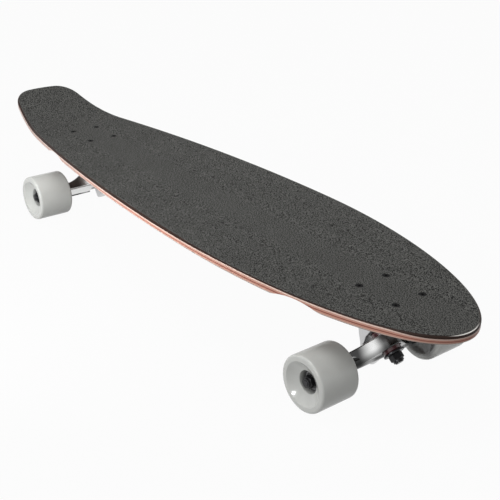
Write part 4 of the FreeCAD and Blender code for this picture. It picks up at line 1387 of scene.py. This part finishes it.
@dataclass
class Wheel:
    """Urethane wheel with dished faces, and the rings and seals of its two bearings."""

    radius: float = 33.0
    half: float = 26.0
    lip: float = 3.4
    lip_share: float = 1.35
    face_inner: float = 26.0
    face_round: float = 1.4
    dish_depth: float = 8.2
    dish_radius: float = 42.0
    hub_mouth: float = 13.4
    mouth_round: float = 0.8
    tread_edge: float = 0.8
    # Reach and fade of the painted shade at the hub's mouth and on the inboard dish.
    painted_shade_margin: float = 0.3
    painted_shade_fade: float = 1.2
    inboard_painted_shade: float = 30.0
    inboard_fade: float = 6.5
    seat: float = 11.0
    seat_end: float = 12.6
    shoulder: float = 9.6
    spacer_half: float = 5.0
    shoulder_round: float = 0.3
    seat_foot: float = 0.1
    seat_lip: float = 0.2
    bearing_half: float = 3.5
    bearing_middle: float = 8.5
    outer_land: float = 8.9
    inner_land: float = 6.1
    race_bevel: float = 0.35
    seal_bore: float = 6.4
    seal_face: float = 3.25
    seal_thick: float = 0.4
    seal_round: float = 0.1
    seal_foot: float = 0.05
    seal_dip: float = 0.1
    groove_depth: float = 0.28
    groove_inner: Span = (0.7, 0.9)
    groove_outer: Span = (0.7, 0.5)
    dish_steps: int = 14
    rim_steps: int = 9
    tread_rows: int = 12
    segments: int = 128

    def bearings(self, path: np.ndarray, frame: Frame) -> list[np.ndarray]:
        """Turn a ring's path at the place of each bearing.

        Args:
            path: Array of radius and height about the bearing's middle.
            frame: Middle of the wheel.

        Returns:
            A grid of points for each bearing.
        """
        places = (self.bearing_middle, -self.bearing_middle)
        return [turned(path, frame.lifted(place)) for place in places]

    def half_profile(self) -> np.ndarray:
        """Radius and height from the middle of the bore out over one face to the middle of the tread.

        Returns:
            Array of radius and height.
        """
        mouth = self.half - self.dish_depth
        start = np.array([self.hub_mouth, mouth])
        end = np.array([self.face_inner, self.half])
        chord = end - start
        span = np.linalg.norm(chord)
        rise = math.sqrt(self.dish_radius**2 - (span / 2) ** 2)
        middle = (start + end) / 2 + np.array([-chord[1], chord[0]]) / span * rise
        first = math.atan2(*(start - middle)[::-1])
        last = math.atan2(*(end - middle)[::-1])
        angle = np.linspace(first, last, self.dish_steps)[1:-1]
        dish = middle + self.dish_radius * np.stack([np.cos(angle), np.sin(angle)], axis=1)
        head = rounded_path(
            [
                (self.shoulder, 0.0, 0.0),
                (self.shoulder, self.spacer_half, self.shoulder_round),
                (self.seat, self.spacer_half, self.seat_foot),
                (self.seat, self.seat_end, self.seat_lip),
                (self.hub_mouth, mouth, self.mouth_round),
                (float(dish[0, 0]), float(dish[0, 1]), 0.0),
            ]
        )
        rim = rounded_path(
            [
                (float(dish[-1, 0]), float(dish[-1, 1]), 0.0),
                (self.face_inner, self.half, self.face_round),
                (self.radius, self.half, self.lip * self.lip_share),
                (self.radius, 0.0, 0.0),
            ],
            self.rim_steps,
        )
        return np.concatenate([head, dish[1:-1], rim])

    def body(self, frame: Frame, name: str, finishes: Finishes) -> Any:
        """Wheel turned from the mirrored half profile.

        Args:
            frame: Middle of the wheel, with Z outwards.
            name: The piece's name.
            finishes: The materials.

        Returns:
            The wheel.
        """
        half = self.half_profile()
        across = np.linspace(half[-2, 1], -half[-2, 1], self.tread_rows)[1:-1]
        tread_rows = np.stack([np.full(len(across), self.radius), across], axis=1)
        lower = half[-2::-1] * np.array([1.0, -1.0])
        profile = np.concatenate([half[:-1], tread_rows, lower])
        grid = turned(profile, frame, self.segments)
        tread = np.clip(1.0 - (self.radius - profile[:, 0]) / self.tread_edge, 0.0, 1.0)
        # Painted shade round the hub's mouth and over the inboard dish, deepest nearest the bore.
        inboard = profile[:, 1] < 0
        reach = np.where(inboard, self.inboard_painted_shade, self.hub_mouth + self.painted_shade_margin)
        fade = np.where(inboard, self.inboard_fade, self.painted_shade_fade)
        painted_shade = np.clip((reach - profile[:, 0]) / fade, 0.0, 1.0)
        marks = {"tread": tread, "painted_shade": painted_shade}
        spread = {mark: [np.broadcast_to(values, grid.shape[:2])] for mark, values in marks.items()}
        return build(name, [grid], finishes.wheel, spread)

    def outer_races(self, frame: Frame, name: str, finishes: Finishes) -> Any:
        """Outer rings of both bearings, with bevelled rims.

        Args:
            frame: Middle of the wheel.
            name: The piece's name.
            finishes: The materials.

        Returns:
            The rings.
        """
        end = self.bearing_half
        path = rounded_path(
            [
                (self.outer_land, 0.0, 0.0),
                (self.outer_land, end, self.race_bevel / 2),
                (self.seat, end, self.race_bevel),
                (self.seat, -end, self.race_bevel),
                (self.outer_land, -end, self.race_bevel / 2),
                (self.outer_land, 0.0, 0.0),
            ]
        )
        return build(name, self.bearings(path, frame), finishes.dark_race)

    def inner_races(self, frame: Frame, bore: float) -> list[np.ndarray]:
        """Inner rings of both bearings.

        Args:
            frame: Middle of the wheel.
            bore: Radius of the axle.

        Returns:
            Grids of points.
        """
        end = self.bearing_half
        path = rounded_path(
            [
                (bore, 0.0, 0.0),
                (bore, end, self.race_bevel),
                (self.inner_land, end, self.race_bevel / 2),
                (self.inner_land, -end, self.race_bevel / 2),
                (bore, -end, self.race_bevel),
                (bore, 0.0, 0.0),
            ]
        )
        return self.bearings(path, frame)

    def seals(self, frame: Frame, name: str, finishes: Finishes) -> Any:
        """Seals on both sides of both bearings, each with a pressed ring round its middle.

        Args:
            frame: Middle of the wheel.
            name: The piece's name.
            finishes: The materials.

        Returns:
            The seals.
        """
        face, low, soft = self.seal_face, self.seal_face - self.seal_thick, self.seal_round
        edge, groove = face - self.seal_dip, face - self.groove_depth
        path = rounded_path(
            [
                (self.seal_bore, low, 0.0),
                (self.seal_bore, edge, soft),
                (self.seal_bore + self.groove_inner[0], edge, soft),
                (self.seal_bore + self.groove_inner[1], groove, soft),
                (self.outer_land - self.groove_outer[0], groove, soft),
                (self.outer_land - self.groove_outer[1], face, soft),
                (self.outer_land, face, soft),
                (self.outer_land, low, self.seal_foot),
                (self.seal_bore, low, 0.0),
            ]
        )
        inboard = path * np.array([1.0, -1.0])
        return build(name, self.bearings(path, frame) + self.bearings(inboard, frame), finishes.seal)


@dataclass
class TruckSet:
    """One reverse-kingpin truck: its stack on the kingpin, its axle and its two wheels."""

    truck: Truck
    bolt_x: float
    deck_bottom: float = 102.5
    pivot_angle: float = 53.0
    axle_inset: float = 7.3
    axle_drop: float = 69.5
    axle_rake: float = 1.5
    ring_rise: float = 18.6
    web_half: float = 2.5
    boardside_end: float = 15.5
    roadside_end: float = 13.1
    bushing_radius: float = 12.0
    roadside_tip: float = 10.5
    bushing_bore: float = 5.0
    bushing_end: float = 1.0
    bushing_end_round: float = 0.8
    bushing_foot: float = 1.2
    bushing_foot_round: float = 0.6
    bushing_shoulder: float = 1.4
    barrel_shoulder: float = 1.6
    barrel_waist: float = 0.35
    barrel_waist_round: float = 6.0
    cone_round: float = 1.2
    cone_waist: float = 0.3
    cone_waist_height: float = 3.4
    cone_waist_round: float = 4.0
    bushing_steps: int = 7
    washer_radius: float = 12.5
    washer_thick: float = 2.2
    washer_rounds: Spot = (0.35, 0.9, 0.2)
    king_radius: float = 4.75
    stack_segments: int = 80
    wheel_y: float = 89.4
    washer_far: float = 13.0
    bearing_far: float = 12.0
    axle_radius: float = 4.0
    axle_tip: float = 1.0
    thread_run: float = 2.0
    thread_pitch: float = 1.06
    thread_depth: float = 0.42
    thread_bevel: float = 0.7
    speed_washer: float = 6.2
    speed_rounds: Spot = (0.2, 0.3, 0.2)
    wheel: Wheel = field(default_factory=Wheel)
    king_nut: LockNut = field(
        default_factory=lambda: LockNut(
            width=14.3, height=7.4, collar_radius=6.3, collar_height=2.4, bore=4.75
        )
    )
    axle_nut: LockNut = field(
        default_factory=lambda: LockNut(
            width=12.7, height=5.8, collar_radius=5.6, collar_height=2.2, bore=4.0
        )
    )
    bolt_nut: LockNut = field(
        default_factory=lambda: LockNut(
            width=9.5, height=3.9, collar_radius=4.1, collar_height=1.7, bore=2.4
        )
    )
    bolt_pitch: Span = (27.0, 20.65)
    plate_thick: float = 5.5

    @property
    def base(self) -> Frame:
        """Frame of the plate's top, turned to face the truck's way."""
        origin = np.array([self.bolt_x, 0.0, self.deck_bottom])
        return Frame(origin, rotation("Z", self.truck.heading))

    @property
    def king(self) -> Frame:
        """Frame on the kingpin at the middle of the hanger's ring, with Z towards the road."""
        lean = math.radians(self.pivot_angle)
        along = self.ring_rise * math.cos(lean) - self.axle_rake * math.sin(lean) - self.axle_inset
        up = self.ring_rise * math.sin(lean) + self.axle_rake * math.cos(lean) - self.axle_drop
        base = self.base
        origin = base.put(np.array([along, 0.0, up]))
        return Frame(origin, base.turn @ rotation("Y", 180.0 - self.pivot_angle))

    def hub(self, side: Side) -> Frame:
        """Frame in the middle of a wheel, with Z outwards."""
        axle = self.base.put(np.array([-self.axle_inset, 0.0, -self.axle_drop]))
        origin = np.array([axle[0], side.sign * self.wheel_y, axle[2]])
        return Frame(origin, rotation("X", -90.0 * side.sign))

    def name(self, part: str) -> str:
        """Name of one of the truck's pieces."""
        return f"{self.truck.label}_{part}"

    def bushings(self, finishes: Finishes) -> None:
        """Barrel and cone bushings between the board and the hanger."""
        king = self.king
        hole, wide, tip = self.bushing_bore, self.bushing_radius, self.roadside_tip
        web, deep, far = self.web_half, self.boardside_end, self.roadside_end
        inset, inset_round = self.bushing_end, self.bushing_end_round
        foot, foot_round = wide - self.bushing_foot, self.bushing_foot_round
        edge, waist = self.bushing_shoulder, self.cone_waist_height
        paths = {
            "boardside_bushing": (
                [
                    (hole, -deep, 0.0),
                    (wide - inset, -deep, inset_round),
                    (wide, self.barrel_shoulder - deep, edge),
                    (wide - self.barrel_waist, -(deep + web) / 2, self.barrel_waist_round),
                    (wide, -web - edge, edge),
                    (foot, -web, foot_round),
                    (hole, -web, 0.0),
                    (hole, -deep, 0.0),
                ],
                -deep,
                -web,
            ),
            "roadside_bushing": (
                [
                    (hole, far, 0.0),
                    (tip - inset, far, inset_round),
                    (tip, far - edge, self.cone_round),
                    (wide - self.cone_waist, web + waist, self.cone_waist_round),
                    (wide, web + edge, edge),
                    (foot, web, foot_round),
                    (hole, web, 0.0),
                    (hole, far, 0.0),
                ],
                far,
                web,
            ),
        }
        for part, (corners, start, end) in paths.items():
            path = self.fine(rounded_path(corners, self.bushing_steps))
            grid = turned(path, king, self.stack_segments)
            piece = build(self.name(part + "_cast"), [grid], finishes.bushing)
            spots = [king.put(np.array([0.0, 0.0, place])) * MM for place in (start, end)]
            self.name("steering")
            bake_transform(piece)
            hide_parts(self.name(part))
            LOG.info("%s bends with the hanger", piece.name)

    @staticmethod
    def fine(path: np.ndarray, step: float = 0.9) -> np.ndarray:
        """Path with points added so that no run is longer than a step.

        Args:
            path: Array of radius and height.
            step: Longest run.

        Returns:
            The finer path.
        """
        gaps = np.linalg.norm(np.diff(path, axis=0), axis=1)
        run = np.concatenate([[0.0], np.cumsum(gaps)])
        counts = np.maximum(np.ceil(gaps / step).astype(int), 1)
        places = [np.linspace(a, b, n, endpoint=False) for a, b, n in zip(run[:-1], run[1:], counts)]
        even = np.concatenate(places + [run[-1:]])
        return np.stack([np.interp(even, run, path[:, axis]) for axis in (0, 1)], axis=1)

    def stack(self, finishes: Finishes) -> None:
        """Bushing washers and the kingpin's lock nut with its nylon ring."""
        king = self.king
        hole, wide, thick = self.king_radius, self.washer_radius, self.washer_thick
        seat_round, face_round, bore_round = self.washer_rounds
        places = {
            "boardside_washer": (-self.boardside_end, -1.0),
            "roadside_washer": (self.roadside_end, 1.0),
        }
        for part, (seat, way) in places.items():
            path = np.array([1.0, way]) * rounded_path(
                [
                    (hole, 0.0, 0.0),
                    (wide, 0.0, seat_round),
                    (wide, thick, face_round),
                    (hole, thick, bore_round),
                    (hole, 0.0, 0.0),
                ]
            )
            grid = turned(path, king.lifted(seat), self.stack_segments)
            piece = build(self.name(part + "_disc"), [grid], finishes.black)
            settle(piece, "board", "black_steel", self.name(part))
        seat = king.lifted(self.roadside_end + thick)
        nut = build(self.name("kingpin_lock_nut"), [self.king_nut.body(seat)], finishes.black)
        settle(nut, "board", "black_steel", self.name("kingpin_nut"))
        ring = build(self.name("kingpin_nut_ring"), [self.king_nut.ring(seat)], finishes.seal)
        settle(ring, "board", "seal")

    def mounting_nuts(self, finishes: Finishes) -> None:
        """Four lock nuts under the plate, with their nylon rings."""
        base = self.base
        under = base.turn @ rotation("X", 180.0)
        frames = [
            Frame(base.put(np.array([along, across, -self.plate_thick])), under)
            for along in (self.bolt_pitch[0], -self.bolt_pitch[0])
            for across in (self.bolt_pitch[1], -self.bolt_pitch[1])
        ]
        bodies = [self.bolt_nut.body(frame) for frame in frames]
        nuts = build(self.name("mounting_lock_nuts"), bodies, finishes.black)
        settle(nuts, "board", "black_steel", self.name("mounting_nuts"))
        rings = build(self.name("mounting_nut_rings"), [self.bolt_nut.ring(f) for f in frames], finishes.seal)
        settle(rings, "board", "seal")

    def axle(self, finishes: Finishes) -> None:
        """Threaded axle, its nuts, speed washers and inner bearing rings."""
        steering = self.name("steering")
        hubs = [self.hub(side) for side in Side]
        across = Frame(hubs[0].origin * np.array([1.0, 0.0, 1.0]), hubs[0].turn)
        nut_top = self.washer_far + self.axle_nut.height + self.axle_nut.collar_height
        end = self.wheel_y + nut_top + self.axle_tip
        start = self.wheel_y + self.bearing_far - self.thread_run
        rod = Thread(self.axle_radius, self.thread_pitch, self.thread_depth, self.thread_bevel)
        grid = rod.grid(-end, end, [(-end, -start), (start, end)], across)
        axle = build(self.name("axle_rod"), [grid], finishes.black)
        settle(axle, steering, "black_steel", self.name("axle"))
        seats = [hub.lifted(self.washer_far) for hub in hubs]
        nuts = build(self.name("axle_lock_nuts"), [self.axle_nut.body(s) for s in seats], finishes.black)
        settle(nuts, steering, "black_steel", self.name("axle_nuts"))
        rings = build(self.name("axle_nut_rings"), [self.axle_nut.ring(s) for s in seats], finishes.seal)
        settle(rings, steering, "seal")
        hole, wide, low, high = self.axle_radius, self.speed_washer, self.bearing_far, self.washer_far
        seat_round, face_round, bore_round = self.speed_rounds
        disc = rounded_path(
            [
                (hole, low, 0.0),
                (wide, low, seat_round),
                (wide, high, face_round),
                (hole, high, bore_round),
                (hole, low, 0.0),
            ]
        )
        discs = [turned(disc * np.array([1.0, way]), hub) for hub in hubs for way in (1.0, -1.0)]
        washers = build(self.name("axle_washers"), discs, finishes.steel)
        settle(washers, steering, "steel", self.name("speed_washers"))
        races = [grid for hub in hubs for grid in self.wheel.inner_races(hub, self.axle_radius)]
        inner = build(self.name("inner_rings"), races, finishes.dark_race)
        settle(inner, steering, "bearing_steel", self.name("bearing_inner_races"))

    def wheels(self, finishes: Finishes) -> None:
        """Both wheels with the outer rings and seals of their bearings."""
        for side in Side:
            place = f"{self.truck.label}_{side.label}"
            hub = self.hub(side)
            body = f"{place}_rolling"
            tyre = self.wheel.body(hub, f"{place}_urethane", finishes)
            settle(tyre, body, "wheel_urethane", f"{place}_wheel")
            rings = self.wheel.outer_races(hub, f"{place}_outer_rings", finishes)
            settle(rings, body, "bearing_steel", f"{place}_bearing_outer_races")
            seals = self.wheel.seals(hub, f"{place}_seals", finishes)
            settle(seals, body, "seal", f"{place}_bearing_shields")

    def dress(self, finishes: Finishes) -> None:
        """Make every piece of the truck."""
        self.bushings(finishes)
        self.stack(finishes)
        self.mounting_nuts(finishes)
        self.axle(finishes)
        self.wheels(finishes)


def dress_nodes(nodes: dict[str, Any], finishes: Finishes) -> None:
    """Give the solid nodes that still show their finishes.

    Args:
        nodes: The solid nodes by name.
        finishes: The materials.
    """
    endings = {
        "baseplate": finishes.casting,
        "hanger": finishes.wing,
        "pivot_cup": finishes.cup,
        "kingpin": finishes.black,
        "mounting_bolts": finishes.bolt,
        "bearing_spacers": finishes.steel,
        "bearing_balls": finishes.race,
        "bearing_cages": finishes.nylon,
    }
    for name, node in nodes.items():
        ending = next((end for end in endings if name.endswith(end)), None)
        if ending is not None:
            node.data.materials.clear()
            node.data.materials.append(endings[ending])
            LOG.info("%s dressed", name)


@dataclass(frozen=True)
class Lamp:
    """Soft rectangular lamp: lengths in metres, power in watts, and whether gloss mirrors it."""

    name: str
    place: Spot
    aim: Spot
    size: Span
    power: float
    mirrored: bool = True

    def hang(self) -> None:
        """Put the lamp at its place and point it at its aim."""
        data = bpy.data.lights.new(self.name, "AREA")
        data.shape = "RECTANGLE"
        data.size, data.size_y = self.size
        data.energy = self.power
        lamp = bpy.data.objects.new(self.name, data)
        lamp.location = self.place
        lamp.visible_glossy = self.mirrored
        ray = Vector(self.aim) - Vector(self.place)
        lamp.rotation_euler = ray.to_track_quat("-Z", "Y").to_euler()
        bpy.context.scene.collection.objects.link(lamp)


@dataclass
class Studio:
    """White studio: a wide floor, soft lamps and the photograph's camera."""

    floor_half: float = 30.0
    floor_colour: Colour = (0.28, 0.28, 0.28)
    floor_glow: float = 0.96
    world_strength: float = 0.48
    camera_place: Spot = (0.935485, -0.666847, 0.573085)
    camera_back: Spot = (0.701692, -0.567107, 0.431279)
    camera_roll: float = math.radians(1.48)
    lens: float = 65.92
    sensor: float = 36.0
    lamps: tuple[Lamp, ...] = (
        Lamp("key", place=(0.57, -1.9, 0.79), aim=(0.1, 0.0, 0.08), size=(0.3, 0.3), power=12.0),
        Lamp(
            "rear",
            place=(-0.55, -1.3, 0.9),
            aim=(-0.3, 0.0, 0.05),
            size=(1.0, 0.8),
            power=3.0,
            mirrored=False,
        ),
        Lamp(
            "side",
            place=(0.02, -0.45, 0.2),
            aim=(-0.28, -0.09, 0.03),
            size=(0.25, 0.25),
            power=1.5,
            mirrored=False,
        ),
        Lamp("overhead", place=(0.0, -0.2, 2.2), aim=(0.0, 0.0, 0.1), size=(0.9, 0.9), power=18.0),
    )

    def floor(self) -> None:
        """Pale floor that shows white to the camera and keeps the shadow."""
        reach = self.floor_half
        corners = [(-reach, -reach, 0.0), (reach, -reach, 0.0), (reach, reach, 0.0), (-reach, reach, 0.0)]
        mesh = bpy.data.meshes.new("floor")
        mesh.from_pydata(corners, [], [(0, 1, 2, 3)])
        plane = bpy.data.objects.new("floor", mesh)
        bpy.context.scene.collection.objects.link(plane)
        shader = Shader("pale_floor")
        path = shader.node("ShaderNodeLightPath", {}, {})
        camera, glossy, through = (Value(shader, path.outputs[way]) for way in SEEN_WAYS)
        seen = camera + glossy + through
        shader.finish(Base_Color=self.floor_colour, Roughness=1.0, Specular_IOR_Level=0.0)
        glow = shader.node("ShaderNodeEmission", {}, {"Strength": 1.0})
        ways = {0: seen * self.floor_glow, 1: shader.surface.outputs[0], 2: glow.outputs[0]}
        both = shader.node("ShaderNodeMixShader", {}, ways)
        shader.tree.links.new(both.outputs[0], shader.output.inputs["Surface"])
        mesh.materials.append(shader.material)

    def world(self) -> None:
        """Even white surroundings, at full white to the camera and in reflections."""
        world = bpy.data.worlds.new("white_room")
        bpy.context.scene.world = world
        world.use_nodes = True
        tree = world.node_tree
        ground = tree.nodes["Background"]
        path = tree.nodes.new("ShaderNodeLightPath")
        mix = tree.nodes.new("ShaderNodeMix")
        mix.inputs[2].default_value = self.world_strength
        mix.inputs[3].default_value = 1.0
        total = path.outputs[SEEN_WAYS[0]]
        for way in SEEN_WAYS[1:]:
            add = tree.nodes.new("ShaderNodeMath")
            add.operation = "ADD"
            tree.links.new(total, add.inputs[0])
            tree.links.new(path.outputs[way], add.inputs[1])
            total = add.outputs[0]
        tree.links.new(total, mix.inputs[0])
        tree.links.new(mix.outputs[0], ground.inputs["Strength"])
        ground.inputs["Color"].default_value = (1.0, 1.0, 1.0, 1.0)

    def camera(self) -> None:
        """Camera at the photograph's angle."""
        back = Vector(self.camera_back).normalized()
        right = Vector((0.0, 0.0, 1.0)).cross(back).normalized()
        up = back.cross(right)
        across = right * math.cos(self.camera_roll) + up * math.sin(self.camera_roll)
        above = up * math.cos(self.camera_roll) - right * math.sin(self.camera_roll)
        data = bpy.data.cameras.new("camera")
        data.lens = self.lens
        data.sensor_width = self.sensor
        camera = bpy.data.objects.new("camera", data)
        turn = Matrix((across, above, back)).transposed()
        camera.matrix_world = Matrix.Translation(self.camera_place) @ turn.to_4x4()
        bpy.context.scene.collection.objects.link(camera)
        bpy.context.scene.camera = camera

    def set_up(self) -> None:
        """Make the camera, the floor and the lights."""
        self.camera()
        self.floor()
        self.world()
        for lamp in self.lamps:
            lamp.hang()
        bpy.context.scene.view_settings.view_transform = "Standard"


def main() -> None:
    """Load the frame, make the studio and every piece."""
    logging.basicConfig(level=logging.INFO, format="%(name)s: %(message)s")
    for item in list(bpy.data.objects):
        bpy.data.objects.remove(item)
    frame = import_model()
    Studio().set_up()
    deck = Deck()
    finishes = Finishes(deck.thickness)
    deck.dress(finishes)
    for truck, place in zip(Truck, deck.bolt_places):
        TruckSet(truck, place[0]).dress(finishes)
    dress_nodes(frame["nodes"], finishes)


if __name__ == "__main__":
    main()
